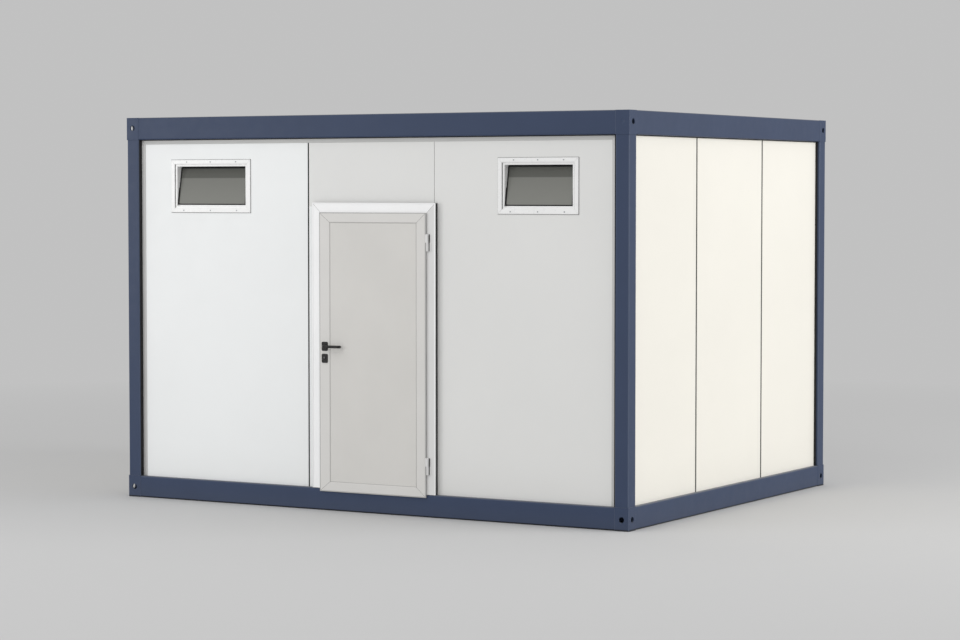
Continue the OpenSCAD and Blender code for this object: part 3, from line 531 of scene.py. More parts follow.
def dress(piece, body, finish):
    piece.data.materials.clear()
    piece.data.materials.append(finish)
    start_clean()
    piece.select_set(True)
    bpy.context.view_layer.objects.active = piece
    bpy.ops.object.shade_smooth_by_angle(angle=math.radians(35))
    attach(piece, body)
    print(piece.name, "with", len(piece.data.polygons), "faces, on", body)


# %% [markdown]
# A pressed grey strip covers the edge of the front wall at both ends and along the top. Its grey is darker than
# the wall's, a painted shade for the shadow of the posts and the top beam. It could be three bars, but a plane that
# is inset once gives the mitred corners for free: the ring of faces is the strip, and the middle and the foot are
# deleted. Splitting the edges lets the bevel open a fine line at each mitre.

# %% Edge trims of the front wall
TRIM_WIDTH, TRIM_THICK, POST_SEAL = 0.034, 0.003, 0.005
TRIM_SHADE_GREY = (0.560, 0.560, 0.550)


def model_front_ring(name, low, high, face_y, width, thickness, open_foot=False):
    ring = add_front_sheet(name, low, high, face_y)
    middle = Vector(((low[0] + high[0]) / 2, face_y, (low[1] + high[1]) / 2))
    pick_faces(ring, lambda face: True)
    bpy.ops.mesh.inset(thickness=width)
    pick_faces(ring, lambda face: (face.center - middle).length < 0.01
               or (open_foot and face.center.z < low[1] + width))
    bpy.ops.mesh.delete(type="FACE")
    bpy.ops.object.mode_set(mode="OBJECT")
    for corner in ring.data.vertices:
        if open_foot and abs(corner.co.z - low[1] - width) < 0.001:
            corner.co.z = low[1]
    pick_faces(ring, lambda face: True)
    bpy.ops.mesh.edge_split(type="EDGE")
    bpy.ops.object.mode_set(mode="OBJECT")
    apply_modifier(ring, "SOLIDIFY", thickness=thickness, offset=1.0)
    soften(ring, 0.25 * thickness)
    return ring


# The trims' grey is darker than the wall: painted shade for the shadow of the posts and the top beam.
trim_shade_coat = make_powder_coat("wall_trim_painted_shade", TRIM_SHADE_GREY, 0.42, 900.0, 0.10)
wall_low, wall_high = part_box("front_left_wall")[0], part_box("front_right_wall")[1]
wall_face = wall_low.y
trim_low = (wall_low.x + POST_SEAL, wall_low.z)
trim_high = (wall_high.x - POST_SEAL, wall_high.z)
trims = model_front_ring("front_wall_trims", trim_low, trim_high, wall_face, TRIM_WIDTH, TRIM_THICK, open_foot=True)
dress(trims, "container", trim_shade_coat)

# %% [markdown]
# Black rubber lips close each wall against the posts and the top beam. On the front they reach deep, over the
# shaded side of each post, and under the top beam, as painted shade. A lip starts as a bar whose outer face is
# narrowed, because it tapers towards the weather side. One loop walks round the four walls: for each it needs where
# the wall starts and ends and which way it faces.

# %% Seal lips of the walls
LIP_WIDTH, LIP_TAPER, LIP_EDGE = 0.007, 0.4, 0.0008
FRONT_SHADE_LIP_DEPTH, OTHER_LIP_DEPTH, BEAM_SHADE_LIP_DEPTH = 0.030, 0.010, 0.012

left_low, left_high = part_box("left_wall_panels")
side_low, side_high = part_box("right_wall_panels")
rear_low, rear_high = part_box("rear_wall_panels")
wall_runs = {
    "front": (Vector((wall_low.x, wall_face, 0)), Vector((wall_high.x, wall_face, 0)), Vector((0, -1, 0))),
    "right": (Vector((side_high.x, side_low.y, 0)), Vector((side_high.x, side_high.y, 0)), Vector((1, 0, 0))),
    "rear": (Vector((rear_low.x, rear_high.y, 0)), Vector((rear_high.x, rear_high.y, 0)), Vector((0, 1, 0))),
    "left": (Vector((left_low.x, left_low.y, 0)), Vector((left_low.x, left_high.y, 0)), Vector((-1, 0, 0))),
}


def add_bar_between(name, first, second):
    return add_bar(name, [min(pair) for pair in zip(first, second)], [max(pair) for pair in zip(first, second)])


def model_lip(name, first, second, outward, slim):
    lip = add_bar_between(name, first, second)
    pick_faces(lip, lambda face: face.normal.dot(outward) > 0.9)
    bpy.ops.transform.resize(value=slim, center_override=(Vector(first) + Vector(second)) / 2)
    leave_edit()
    soften(lip, LIP_EDGE)
    return lip


wall_foot, wall_top = Vector((0, 0, wall_low.z)), Vector((0, 0, wall_high.z))
lips = []
for wall, (start, end, outward) in wall_runs.items():
    run = (end - start).normalized()
    slim = Vector((1, 1, 1)) - LIP_TAPER * run
    # The deep black lips on the front cover the shaded sides of the posts, and the lip under the top beam its shade:
    # painted shade.
    depth = outward * (FRONT_SHADE_LIP_DEPTH if wall == "front" else OTHER_LIP_DEPTH)
    lips.append(model_lip("lip", start + wall_foot, start + run * LIP_WIDTH + wall_top + depth, outward, slim))
    lips.append(model_lip("lip", end - run * LIP_WIDTH + wall_foot, end + wall_top + depth, outward, slim))
    lips.append(model_lip("lip", start + wall_top - Vector((0, 0, LIP_WIDTH)),
                          end + wall_top + outward * BEAM_SHADE_LIP_DEPTH, outward, (1, 1, 1 - LIP_TAPER)))
seal_and_shade_lips = join_pieces(lips, "wall_seal_and_shade_lips")
dress(seal_and_shade_lips, "container", black_rubber_and_shade)

# %% [markdown]
# On the sides and the back a dark cover strip is pressed over each panel joint. The joints are read from the
# panels' own meshes: where two neighbouring edges lie one joint width apart, there is a gap. The strip is a bar
# with a groove sunk along its middle, which an inset with a depth makes in one step.

# %% Joint strips of the side and rear walls
STRIP_WIDTH, STRIP_THICK = 0.017, 0.0012
STRIP_RIM, STRIP_GROOVE, STRIP_EDGE = 0.004, 0.0004, 0.0003
STRIP_GREY = (0.060, 0.060, 0.056)
JOINT_LEAST, JOINT_MOST = 0.008, 0.016


def find_joints(name, axis):
    edges = sorted({round(corner.co[axis], 4) for corner in nodes[name].data.vertices})
    return [(a + b) / 2 for a, b in zip(edges, edges[1:]) if JOINT_LEAST < b - a < JOINT_MOST]


def model_grooved_bar(name, first, second, outward, rim, groove, edge):
    bar = add_bar_between(name, first, second)
    pick_faces(bar, lambda face: face.normal.dot(outward) > 0.9)
    bpy.ops.mesh.inset(thickness=rim, depth=-groove)
    leave_edit()
    soften(bar, edge)
    return bar


strip_rubber = make_rubber("joint_strip_rubber", STRIP_GREY, (0.080, 0.080, 0.075))
strips = []
for wall, name in (("right", "right_wall_panels"), ("left", "left_wall_panels"), ("rear", "rear_wall_panels")):
    start, end, outward = wall_runs[wall]
    axis = 0 if wall == "rear" else 1
    half = (end - start).normalized() * STRIP_WIDTH / 2
    for joint in find_joints(name, axis):
        middle = start.copy()
        middle[axis] = joint
        top = middle + half + wall_top - Vector((0, 0, LIP_WIDTH)) + outward * STRIP_THICK
        strips.append(model_grooved_bar("strip", middle - half + wall_foot, top, outward,
                                        STRIP_RIM, STRIP_GROOVE, STRIP_EDGE))
joint_strips = join_pieces(strips, "panel_joint_strips")
dress(joint_strips, "container", strip_rubber)
print(len(strips), "joint strips")

# %% [markdown]
# Each window is screwed through its flange, three screws above and three below. One pan-head screw is modelled
# from a disc: the first inset lifts a dome, the second sinks the drive. An Array could repeat it, but the holes
# aren't evenly spaced, so copies with their own meshes go to every hole.

# %% Window screws
WINDOW_WIDTHS = {"left": 0.703, "right": 0.623}
SCREW_SHARES_TOP, SCREW_SHARES_FOOT = (0.20, 0.50, 0.82), (0.16, 0.50, 0.83)
SCREW_INSET = 0.0155
PAN_RADIUS, PAN_HEIGHT = 0.0050, 0.0020


def model_pan_screw(name, radius, height):
    screw = add_disc(name, (0, -height / 2, 0), radius, height)
    pick_faces(screw, lambda face: face.normal.y < -0.9)
    bpy.ops.mesh.inset(thickness=0.30 * radius, depth=0.35 * height)
    bpy.ops.mesh.inset(thickness=0.28 * radius, depth=-0.50 * height)
    leave_edit()
    return screw


window_low, window_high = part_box("window_frames")
window_spans = {"left": (window_low.x, window_low.x + WINDOW_WIDTHS["left"]),
                "right": (window_high.x - WINDOW_WIDTHS["right"], window_high.x)}
flange_y = window_low.y
holes = []
for start, end in window_spans.values():
    for share in SCREW_SHARES_TOP:
        holes.append((start + share * (end - start), flange_y, window_high.z - SCREW_INSET))
    for share in SCREW_SHARES_FOOT:
        holes.append((start + share * (end - start), flange_y, window_low.z + SCREW_INSET))
window_screws = join_copies(model_pan_screw("pan_screw", PAN_RADIUS, PAN_HEIGHT), "window_screws", holes)
dress(window_screws, "container", screw_steel)

# %% [markdown]
# A grey bead of sealant runs round each window on the wall, dark enough to be a painted shadow for the gap under the
# flange. It is the inset ring of the wall trims again, a little larger than the flange, so that only a thin line of
# it shows.

# %% Window sealant and its painted shadow
SEALANT_SHADE_GREY = (0.120, 0.120, 0.118)
SEALANT_OUT, SEALANT_WIDTH, SEALANT_THICK = 0.0025, 0.0030, 0.0020

# Dark grey bead: sealant, and a painted shadow for the gap round the window flange.
sealant_shade_rubber = make_rubber("grey_sealant_shade", SEALANT_SHADE_GREY, (0.16, 0.16, 0.155))
beads = []
for side, (start, end) in window_spans.items():
    bead_low = (start - SEALANT_OUT, window_low.z - SEALANT_OUT)
    bead_high = (end + SEALANT_OUT, window_high.z + SEALANT_OUT)
    beads.append(model_front_ring(side + "_bead", bead_low, bead_high, wall_face, SEALANT_WIDTH, SEALANT_THICK))
window_sealant_shade_lines = join_pieces(beads, "window_sealant_shade_lines")
dress(window_sealant_shade_lines, "container", sealant_shade_rubber)

# %% [markdown]
# Inside its flange the window frame steps back, and a slim grooved gasket lies in that step at both sides. Its dark
# grey is a painted shade for the shaded face of the step. The grooved bar of the joint strips serves here too, only
# smaller.

# %% Window gaskets, a painted shade in the step
FRONTWARD = Vector((0, -1, 0))
FLANGE_WIDTH, INNER_STEP = 0.031, 0.009
GASKET_SIZE, GASKET_SIDE_GAP, GASKET_END_GAP = 0.004, 0.0002, 0.004
GASKET_OUT, GASKET_IN = 0.0008, 0.001
GASKET_RIM, GASKET_GROOVE, GASKET_EDGE = 0.0012, 0.0003, 0.0003

step_y = flange_y + INNER_STEP
gaskets = []
for start, end in window_spans.values():
    for side_x in (start + FLANGE_WIDTH + GASKET_SIDE_GAP, end - FLANGE_WIDTH - GASKET_SIDE_GAP - GASKET_SIZE):
        gasket_low = (side_x, step_y - GASKET_OUT, window_low.z + FLANGE_WIDTH + GASKET_END_GAP)
        gasket_high = (side_x + GASKET_SIZE, step_y + GASKET_IN, window_high.z - FLANGE_WIDTH - GASKET_END_GAP)
        gaskets.append(model_grooved_bar("gasket", gasket_low, gasket_high, FRONTWARD,
                                         GASKET_RIM, GASKET_GROOVE, GASKET_EDGE))
window_shade_gaskets = join_pieces(gaskets, "window_shade_gaskets")
# The gaskets take the dark sealant grey: painted shade for the shaded face of the step.
dress(window_shade_gaskets, "container", sealant_shade_rubber)

# %% [markdown]
# A small black bracket holds the foot of each sash at its left end, and the arm of the stay leans back with the
# sash above it. Bracket and arm are bars: the bracket's top is narrowed, and the arm is turned about its foot by
# the sash's own tilt. A bevel rounds both.

# %% Sash brackets
BRACKET_SIZE = Vector((0.015, 0.010, 0.012))
BRACKET_PLACE = Vector((0.0494, 0.0045, 0.0542))
ARM_SIZE = Vector((0.0028, 0.010, 0.125))
ARM_PLACE = Vector((0, 0.004, 0.002))
SASH_TILT = math.radians(9.5)
STAY_EDGE = 0.001

brackets = []
for side, (start, end) in window_spans.items():
    foot = Vector((start, flange_y, window_low.z)) + BRACKET_PLACE
    bracket = add_bar(side + "_bracket", foot, foot + BRACKET_SIZE)
    pick_faces(bracket, lambda face: face.normal.z > 0.9)
    bpy.ops.transform.resize(value=(0.7, 0.6, 1.0), center_override=foot + BRACKET_SIZE)
    leave_edit()
    soften(bracket, STAY_EDGE)
    hip = foot + ARM_PLACE
    arm = add_bar(side + "_arm", hip, hip + ARM_SIZE)
    pick_faces(arm, lambda face: True)
    bpy.ops.transform.rotate(value=SASH_TILT, orient_axis="X", center_override=hip)
    leave_edit()
    soften(arm, STAY_EDGE)
    brackets += [bracket, arm]
sash_brackets = join_pieces(brackets, "sash_brackets")
dress(sash_brackets, "container", handle_black)

# %% [markdown]
# The leaf's infill sheet sits in a thin grey gasket, darker than the leaf as a painted shade for the shaded groove
# round the infill. It is an inset plane again, with the infill's own outline as its outer edge.

# %% Infill gasket
INFILL_GASKET_SHADE_GREY = (0.450, 0.445, 0.430)
INFILL_GASKET_WIDTH, INFILL_GASKET_THICK = 0.003, 0.0012

# Grey gasket, darker than the leaf: painted shade in the groove round the infill.
gasket_shade_rubber = make_rubber("infill_groove_painted_shade", INFILL_GASKET_SHADE_GREY, (0.42, 0.415, 0.40))
infill_low, infill_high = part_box("leaf_infill")
infill_gasket = model_front_ring("infill_gasket", (infill_low.x, infill_low.z), (infill_high.x, infill_high.z),
                                 infill_low.y, INFILL_GASKET_WIDTH, INFILL_GASKET_THICK)
dress(infill_gasket, "door", gasket_shade_rubber)

# %% [markdown]
# The mitred corners of the leaf show a fine dark line of joint filler. A dark stripe in the material would lie
# flat. A slim bar, laid along its mitre and raised a hair over the coat, is a real shape, and it leaves the
# measured pieces as they are.

# %% Mitre lines of the leaf
JOINT_DARK = (0.240, 0.237, 0.230)
LINE_THICK, LINE_EDGE, LEAF_LINE_WIDTH = 0.0006, 0.0001, 0.0018

joint_filler = make_rubber("mitre_joint_filler", JOINT_DARK, (0.28, 0.28, 0.27))


def lay_line(name, start, end, face_y, width):
    run = Vector((end[0] - start[0], 0, end[1] - start[1]))
    middle = ((start[0] + end[0]) / 2, face_y, (start[1] + end[1]) / 2)
    start_clean()
    bpy.ops.mesh.primitive_cube_add(size=1.0, location=middle, rotation=(0, -math.atan2(run.z, run.x), 0),
                                    scale=(run.length, LINE_THICK, width))
    line = keep_as(name)
    soften(line, LINE_EDGE, 1)
    return line


stile_low, stile_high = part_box("leaf_left_stile")
right_low, right_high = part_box("leaf_right_stile")
leaf_corners = [((stile_low.x, stile_high.z), (infill_low.x, infill_high.z)),
                ((stile_low.x, stile_low.z), (infill_low.x, infill_low.z)),
                ((right_high.x, right_high.z), (infill_high.x, infill_high.z)),
                ((right_high.x, right_low.z), (infill_high.x, infill_low.z))]
leaf_lines = [lay_line("leaf_line", outer, inner, face_y, LEAF_LINE_WIDTH)
              for outer, inner in leaf_corners for face_y in (stile_low.y, stile_high.y)]
leaf_mitres = join_pieces(leaf_lines, "leaf_mitre_lines")
dress(leaf_mitres, "door", joint_filler)

# %% [markdown]
# The two upper corners of the door frame have the same filler in a finer line. It runs from the outer corner to
# the inner one, one frame bar in and one down.

# %% Mitre lines of the door frame
FRAME_BAR, FRAME_LINE_WIDTH = 0.087, 0.0014

head_low, head_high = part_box("door_frame_head")
frame_lines = [lay_line("frame_line", (outer_x, head_high.z), (outer_x + inward, head_high.z - FRAME_BAR),
                        head_low.y, FRAME_LINE_WIDTH)
               for outer_x, inward in ((head_low.x, FRAME_BAR), (head_high.x, -FRAME_BAR))]
frame_mitres = join_pieces(frame_lines, "door_frame_mitre_lines")
dress(frame_mitres, "container", joint_filler)

# %% [markdown]
# A narrow raised strip runs along the frame's outer edge and catches the light. It is a ring with an open foot,
# like the wall's trims.

# %% Edge strip of the door frame
EDGE_STRIP_WIDTH, EDGE_STRIP_THICK = 0.008, 0.0016

frame_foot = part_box("door_frame_left_jamb")[0].z
edge_strip = model_front_ring("door_frame_edge_strip", (head_low.x, frame_foot), (head_high.x, head_high.z),
                              head_low.y, EDGE_STRIP_WIDTH, EDGE_STRIP_THICK, open_foot=True)
dress(edge_strip, "container", door_frame_coat)

# %% [markdown]
# The lever turns in a collar on each rose, outside and inside. A collar is a disc whose two caps are inset and
# then bridged into a ring.

# %% Lever collars
COLLAR_OUTER, COLLAR_INNER, COLLAR_DEPTH, COLLAR_EDGE = 0.0160, 0.0107, 0.0040, 0.0008

lever_low, lever_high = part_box("lever_spindle")
axis_x, axis_z = (lever_low.x + lever_high.x) / 2, (lever_low.z + lever_high.z) / 2
rose_low, rose_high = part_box("handle_roses")
collars = []
for face_y, outward in ((rose_low.y, -1), (rose_high.y, 1)):
    middle = (axis_x, face_y + outward * COLLAR_DEPTH / 2, axis_z)
    collar = add_disc("collar", middle, COLLAR_OUTER, COLLAR_DEPTH, sides=40)
    pick_faces(collar, lambda face: abs(face.normal.y) > 0.9)
    bpy.ops.mesh.inset(thickness=COLLAR_OUTER - COLLAR_INNER, use_individual=True)
    bpy.ops.mesh.bridge_edge_loops()
    leave_edit()
    soften(collar, COLLAR_EDGE)
    collars.append(collar)
lever_collars = join_pieces(collars, "lever_collars")
dress(lever_collars, "door", handle_black)

# %% [markdown]
# A dark steel plug sits in each lock. Its keyway is cut with a Boolean, because a slot across a round cap would
# be slow to model face by face.

# %% Lock plugs
PLUG_RADIUS, PLUG_DEPTH, PLUG_RISE, PLUG_EDGE = 0.0068, 0.0010, 0.00575, 0.0003
KEYWAY_HALF = Vector((0.0011, 0.004, 0.0042))

lock_low, lock_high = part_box("lock_roses")
lock_z = (lock_low.z + lock_high.z) / 2 + PLUG_RISE
plugs = []
for face_y, outward in ((lock_low.y, -1), (lock_high.y, 1)):
    middle = Vector((axis_x, face_y, lock_z))
    plug_middle = (axis_x, face_y + outward * PLUG_DEPTH / 2, lock_z)
    plug = add_disc("plug", plug_middle, PLUG_RADIUS, PLUG_DEPTH, sides=32)
    keyway = add_bar("keyway", middle - KEYWAY_HALF, middle + KEYWAY_HALF)
    apply_modifier(plug, "BOOLEAN", object=keyway, operation="DIFFERENCE", solver="EXACT")
    bpy.data.objects.remove(keyway)
    soften(plug, PLUG_EDGE, 1)
    plugs.append(plug)
lock_plugs = join_pieces(plugs, "lock_plugs")
dress(lock_plugs, "door", plug_steel)

# %% [markdown]
# Two screws hold the plate of each hinge on the jamb. The pan screw is modelled again with a flatter head, and
# takes the jamb's greyer coat with its painted shade, because it is painted over with the plate.

# %% Hinge plate screws
FRAME_FRONT = -1.650
HINGE_SCREW_RISES = (-0.046, -0.014)
HINGE_HALF, HINGE_LIFT, PLATE_EDGE = 0.060, 0.0033, 0.010
PLATE_SCREW_RADIUS, PLATE_SCREW_HEIGHT = 0.0042, 0.0009

hinge_low, hinge_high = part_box("hinge_frame_halves")
plate_x = hinge_high.x - PLATE_EDGE
hinge_middles = (hinge_low.z + HINGE_HALF, hinge_high.z - HINGE_HALF + HINGE_LIFT)
screw_places = [(plate_x, FRAME_FRONT, middle + rise) for middle in hinge_middles for rise in HINGE_SCREW_RISES]
plate_screw = model_pan_screw("plate_screw", PLATE_SCREW_RADIUS, PLATE_SCREW_HEIGHT)
hinge_screws = join_copies(plate_screw, "hinge_plate_screws", screw_places)
dress(hinge_screws, "container", jamb_shade_coat)

# %% [markdown]
# A black strip lies along each hinge, a painted shadow for the dark gap beside the knuckle. It is a grooved bar like
# the window gaskets, sunk a little into the plate.

# %% Hinge shadow strips
HINGE_SHADOW_X, HINGE_SHADOW_WIDTH, HINGE_SHADOW_HALF = 0.5295, 0.005, 0.058
HINGE_SHADOW_OUT, HINGE_SHADOW_IN, HINGE_SHADOW_EDGE = 0.0006, 0.003, 0.0004

# Painted shadow: a black strip for the dark gap beside each hinge's knuckle.
hinge_shade_pieces = []
for middle in hinge_middles:
    shade_piece_low = (HINGE_SHADOW_X, FRAME_FRONT - HINGE_SHADOW_OUT, middle - HINGE_SHADOW_HALF)
    shade_piece_high = (HINGE_SHADOW_X + HINGE_SHADOW_WIDTH, FRAME_FRONT + HINGE_SHADOW_IN, middle + HINGE_SHADOW_HALF)
    hinge_shade_pieces.append(model_grooved_bar("hinge_shade_piece", shade_piece_low, shade_piece_high, FRONTWARD,
                                    GASKET_RIM, GASKET_GROOVE, HINGE_SHADOW_EDGE))
hinge_shadow_strips = join_pieces(hinge_shade_pieces, "hinge_shadow_strips")
dress(hinge_shadow_strips, "container", black_rubber_and_shade)

# %% [markdown]
# Four screws hold the threshold down. Their head is modelled facing the front like the others, and then laid flat
# by turning it about its own middle.

# %% Threshold screws
STEP_SCREW_SHARES = (0.08, 0.36, 0.64, 0.92)
STEP_SCREW_BACK, STEP_RIB = 0.040, 0.002
STEP_SCREW_RADIUS, STEP_SCREW_HEIGHT = 0.0034, 0.0010

step_low, step_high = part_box("door_threshold")
step_screw = model_pan_screw("step_screw", STEP_SCREW_RADIUS, STEP_SCREW_HEIGHT)
step_screw.rotation_euler = (math.radians(-90), 0, 0)
step_screw.select_set(True)
bpy.ops.object.transform_apply(location=True, rotation=True, scale=True)
step_places = [(step_low.x + share * (step_high.x - step_low.x), step_low.y + STEP_SCREW_BACK, step_high.z - STEP_RIB)
               for share in STEP_SCREW_SHARES]
step_screws = join_copies(step_screw, "threshold_screws", step_places)
dress(step_screws, "container", screw_steel)

# %% [markdown]
# The latch side has a thin steel plate in the leaf's edge and a strike plate on the jamb. They only show with the
# door open. Each starts as a bar, and a Boolean cuts the openings for the latch and the bolt through it, so that
# both plates have them at the same heights.

# %% Lock plate and strike plate
EDGE_PLATE_THICK, EDGE_PLATE_EDGE = 0.0008, 0.0002
LOCK_STILE, CORE_SET_BACK, CORE_DEPTH = 0.088, 0.026, 0.017
LATCH_OPENINGS, LATCH_HALF, CUTTER_REACH = ((-0.010, 0.010), (-0.100, -0.070)), 0.006, 0.01
LOCK_PLATE_HALF, LOCK_PLATE_SPAN = 0.011, (-0.160, 0.075)
STRIKE_HALF, STRIKE_SPAN = 0.012, (-0.130, 0.040)

core_edge_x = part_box("leaf_infill")[0].x - LOCK_STILE + CORE_SET_BACK
jamb_edge_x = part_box("door_frame_left_jamb")[1].x
core_mid_y = FRAME_FRONT + CORE_DEPTH


def model_edge_plate(name, left_x, right_x, half_width, span):
    plate = add_bar(name, (left_x, core_mid_y - half_width, axis_z + span[0]),
                    (right_x, core_mid_y + half_width, axis_z + span[1]))
    cutters = [add_bar("cutter", (left_x - CUTTER_REACH, core_mid_y - LATCH_HALF, axis_z + foot),
                       (right_x + CUTTER_REACH, core_mid_y + LATCH_HALF, axis_z + top))
               for foot, top in LATCH_OPENINGS]
    cutter = join_pieces(cutters, "cutter")
    apply_modifier(plate, "BOOLEAN", object=cutter, operation="DIFFERENCE", solver="EXACT")
    bpy.data.objects.remove(cutter)
    soften(plate, EDGE_PLATE_EDGE, 1)
    return plate


lock_plate = model_edge_plate("lock_face_plate", core_edge_x - EDGE_PLATE_THICK, core_edge_x,
                              LOCK_PLATE_HALF, LOCK_PLATE_SPAN)
dress(lock_plate, "door", screw_steel)
strike_plate = model_edge_plate("strike_plate", jamb_edge_x, jamb_edge_x + EDGE_PLATE_THICK,
                                STRIKE_HALF, STRIKE_SPAN)
dress(strike_plate, "container", screw_steel)

# %% [markdown]
# The near upper block shows no open hole at the front, so a painted cap closes it there. A disc gets a sunk dish
# by two insets, and a bevel rounds its rim.

# %% Hole cap
BLOCK, HOLE_DROP = 0.108, 0.076
CAP_RADIUS, CAP_DEPTH, CAP_SINK = 0.0197, 0.0080, 0.0003
CAP_RIM, CAP_SLOPE, CAP_DISH, CAP_EDGE = 0.0030, 0.0010, 0.0004, 0.0003

block_low, block_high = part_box("top_corner_blocks")
cap_middle = (block_high.x - BLOCK / 2, block_low.y + CAP_SINK + CAP_DEPTH / 2, block_high.z - HOLE_DROP)
cap = add_disc("hole_cap", cap_middle, CAP_RADIUS, CAP_DEPTH, sides=40)
pick_faces(cap, lambda face: face.normal.y < -0.9)
bpy.ops.mesh.inset(thickness=CAP_RIM)
bpy.ops.mesh.inset(thickness=CAP_SLOPE, depth=-CAP_DISH)
leave_edit()
soften(cap, CAP_EDGE)
dress(cap, "container", navy_paint)

# %% [markdown]
# The frame is welded where beams and posts meet the corner blocks. A weld is a row of small ripples. One ripple is
# a short cone, an Array lays it along a seam, and the seam is copied to every joint: upright beside the beams,
# along the front and back, and across the sides.

# %% Weld seams
RIPPLE, BEAD_RADIUS, BLOCK_PROUD = 0.0040, 0.0014, 0.003
UPRIGHT_MARGIN, LEVEL_MARGIN = 0.020, 0.012


def model_weld(name, length, turn):
    count = int(length / RIPPLE)
    start_clean()
    bpy.ops.mesh.primitive_cone_add(vertices=8, radius1=BEAD_RADIUS, radius2=0.8 * BEAD_RADIUS, depth=1.15 * RIPPLE)
    weld = keep_as(name)
    apply_modifier(weld, "ARRAY", count=count, use_relative_offset=False, use_constant_offset=True,
                   constant_offset_displace=(0, 0, RIPPLE))
    weld.location = (0, 0, -RIPPLE * (count - 1) / 2)
    bpy.ops.object.transform_apply(location=True, rotation=False, scale=False)
    weld.rotation_euler = turn
    bpy.ops.object.transform_apply(location=False, rotation=True, scale=False)
    return weld


foot_low, foot_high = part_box("bottom_corner_blocks")
half_x, half_y = block_high.x, -block_low.y
upright_places, along_places, across_places = [], [], []
for sx, sy in [(sx, sy) for sx in (-1, 1) for sy in (-1, 1)]:
    for low_z, high_z in ((foot_low.z, foot_high.z), (block_low.z, block_high.z)):
        upright_places.append((sx * (half_x - BLOCK), sy * (half_y - BLOCK_PROUD), (low_z + high_z) / 2))
        upright_places.append((sx * (half_x - BLOCK_PROUD), sy * (half_y - BLOCK), (low_z + high_z) / 2))
    for edge_z in (foot_high.z, block_low.z):
        along_places.append((sx * (half_x - BLOCK / 2), sy * (half_y - BLOCK_PROUD), edge_z))
        across_places.append((sx * (half_x - BLOCK_PROUD), sy * (half_y - BLOCK / 2), edge_z))
upright_length = min(foot_high.z - foot_low.z, block_high.z - block_low.z) - UPRIGHT_MARGIN
level_length = BLOCK - LEVEL_MARGIN
quarter = math.radians(90)
welds = [join_copies(model_weld("upright_weld", upright_length, (0, 0, 0)), "upright_welds", upright_places),
         join_copies(model_weld("along_weld", level_length, (0, quarter, 0)), "along_welds", along_places),
         join_copies(model_weld("across_weld", level_length, (quarter, 0, 0)), "across_welds", across_places)]
weld_seams = join_pieces(welds, "weld_seams")
dress(weld_seams, "container", navy_paint)

# %% [markdown]
# The roof sheet is screwed down through the tops of its ribs, each screw with a sealing washer. The ribs' places
# are read from the roof's own mesh. The screw has few faces, because there are about a hundred of them.

# %% Roof screws
ROOF_ROWS = (-1.50, -0.75, 0.0, 0.75, 1.50)
WASHER_RADIUS, WASHER_HEIGHT, WASHER_RIM, WASHER_RISE = 0.0085, 0.0020, 0.0015, 0.0006
HEAD_RADIUS, HEAD_HEIGHT, HEAD_RIM, HEAD_RISE = 0.0046, 0.0044, 0.0008, 0.0004


def model_raised_disc(name, foot_z, radius, height, sides, rim, rise):
    disc = add_disc(name, (0, 0, foot_z + height / 2), radius, height, turn=(0, 0, 0), sides=sides)
    pick_faces(disc, lambda face: face.normal.z > 0.9)
    bpy.ops.mesh.inset(thickness=rim, depth=rise)
    leave_edit()
    return disc


roof_low, roof_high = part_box("roof_sheet")
ridge = sorted({round(corner.co.x, 3) for corner in nodes["roof_sheet"].data.vertices
                if corner.co.z > roof_high.z - 0.0005})
rib_middles = [(left + right) / 2 for left, right in zip(ridge[0::2], ridge[1::2])]
washer = model_raised_disc("washer", 0.0, WASHER_RADIUS, WASHER_HEIGHT, 10, WASHER_RIM, WASHER_RISE)
head = model_raised_disc("head", WASHER_HEIGHT + WASHER_RISE, HEAD_RADIUS, HEAD_HEIGHT, 6, HEAD_RIM, HEAD_RISE)
roof_screw = join_pieces([washer, head], "roof_screw")
roof_places = [(x, y, roof_high.z) for x in rib_middles for y in ROOF_ROWS]
roof_screws = join_copies(roof_screw, "roof_screws", roof_places)
dress(roof_screws, "container", screw_steel)
print(len(rib_middles), "ribs,", len(roof_places), "roof screws")

# %% [markdown]
# The object stands on a pale studio floor that fades into an even backdrop. A wide disc does this from every
# side: close to the object it is a lit surface that takes the shadow, and far out it turns into the
# backdrop's own grey, so no horizon shows.

# %% Floor and backdrop
BACKDROP = (0.535, 0.535, 0.535)
FLOOR_GREY = (0.588, 0.588, 0.588)
FLOOR_RADIUS = 90.0
FADE_START, FADE_END = 4.5, 12.5

start_clean()
bpy.ops.mesh.primitive_circle_add(vertices=96, radius=FLOOR_RADIUS, fill_type="NGON", location=(0, 0, 0))
floor = bpy.context.object
floor.name = "studio_floor"
floor_material, tree, shader, place = start_material("studio_floor", 0.9, specular=0.1)
shader.inputs["Base Color"].default_value = (*FLOOR_GREY, 1.0)
distance = tree.nodes.new("ShaderNodeVectorMath")
distance.operation = "LENGTH"
tree.links.new(place, distance.inputs[0])
far = spread(tree, distance.outputs["Value"], FADE_START, FADE_END, 0, 1)
backdrop = tree.nodes.new("ShaderNodeEmission")
backdrop.inputs["Color"].default_value = (*BACKDROP, 1.0)
fade = tree.nodes.new("ShaderNodeMixShader")
tree.links.new(far, fade.inputs["Fac"])
tree.links.new(shader.outputs["BSDF"], fade.inputs[1])
tree.links.new(backdrop.outputs["Emission"], fade.inputs[2])
tree.links.new(fade.outputs["Shader"], tree.nodes["Material Output"].inputs["Surface"])
floor.data.materials.append(floor_material)
print("floor of", 2 * FLOOR_RADIUS, "m")

# %% [markdown]
# The world is an even white sky of modest strength, so that every side of the object gets some light. One grey for
# all rays would tie that light to the backdrop. So the camera, and whatever is mirrored or seen through glass, gets
# the backdrop's grey, and only the light on the surfaces comes from the white sky.

# %% World
SKY_STRENGTH = 0.70

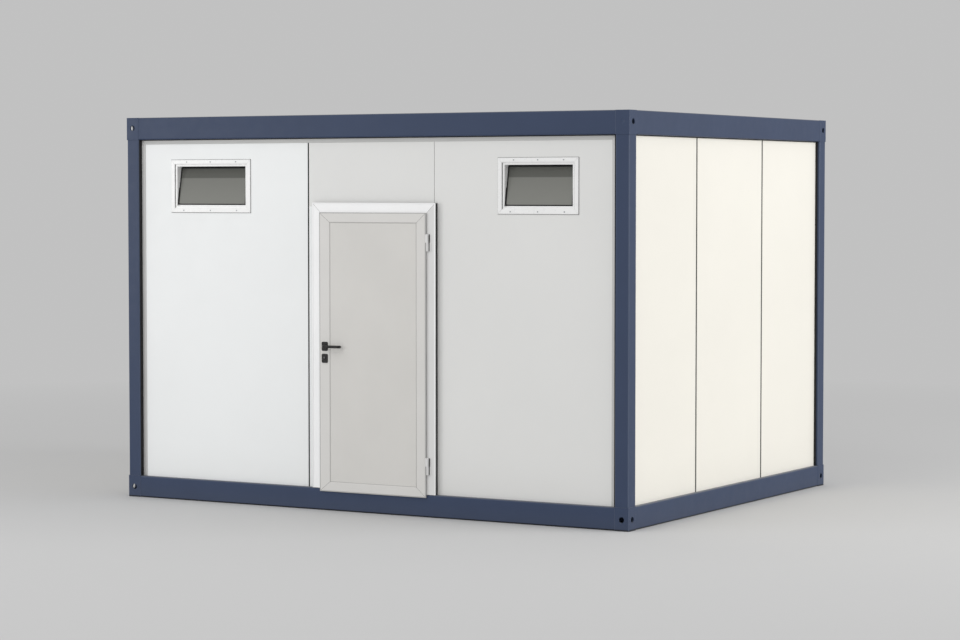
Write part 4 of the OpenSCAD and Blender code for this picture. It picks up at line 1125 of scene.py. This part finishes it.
world = bpy.data.worlds.new("studio")
scene.world = world
world.use_nodes = True
tree = world.node_tree
sky = tree.nodes["Background"]
sky.inputs["Color"].default_value = (1.0, 1.0, 1.0, 1.0)
sky.inputs["Strength"].default_value = SKY_STRENGTH
seen = tree.nodes.new("ShaderNodeBackground")
seen.inputs["Color"].default_value = (*BACKDROP, 1.0)
rays = tree.nodes.new("ShaderNodeLightPath").outputs
mirror_rays = add_math(tree, "MAXIMUM", rays["Is Glossy Ray"], rays["Is Transmission Ray"])
view_rays = add_math(tree, "MAXIMUM", rays["Is Camera Ray"], mirror_rays)
choose = tree.nodes.new("ShaderNodeMixShader")
tree.links.new(view_rays, choose.inputs["Fac"])
tree.links.new(sky.outputs["Background"], choose.inputs[1])
tree.links.new(seen.outputs["Background"], choose.inputs[2])
tree.links.new(choose.outputs["Shader"], tree.nodes["World Output"].inputs["Surface"])
print("world of strength", SKY_STRENGTH)

# %% [markdown]
# Four soft boxes light the object. The large one hangs high in front and throws the narrow soft shadow of the top
# beam on the panels. A wide low one fills the front from the right, so that the door frame casts almost no shadow. A
# small low one stands where the left end of the frame mirrors it, so the paint shines a little more on that side. The
# last stands beside the right wall, far enough back that it never reaches the front.

# %% Lights


def add_soft_box(name, place, aim, width, height, power):
    light = bpy.data.lights.new(name, "AREA")
    light.shape = "RECTANGLE"
    light.size, light.size_y = width, height
    light.energy = power
    box = bpy.data.objects.new(name, light)
    box.location = place
    box.rotation_euler = (Vector(aim) - Vector(place)).to_track_quat("-Z", "Y").to_euler()
    scene.collection.objects.link(box)
    print("soft box", name, power, "W")


add_soft_box("top_box", (-2.5, -9.5, 10.5), (0.0, -1.2, 1.0), 9.0, 7.0, 290.0)
add_soft_box("front_box", (3.5, -13.0, 1.4), (0.3, -1.6, 1.0), 6.0, 2.4, 95.0)
add_soft_box("left_box", (-8.5, -9.5, 2.6), (-1.5, -1.6, 1.4), 3.0, 3.0, 165.0)
add_soft_box("side_box", (14.0, 3.0, 5.6), (2.0, 0.2, 1.3), 9.0, 6.5, 930.0)
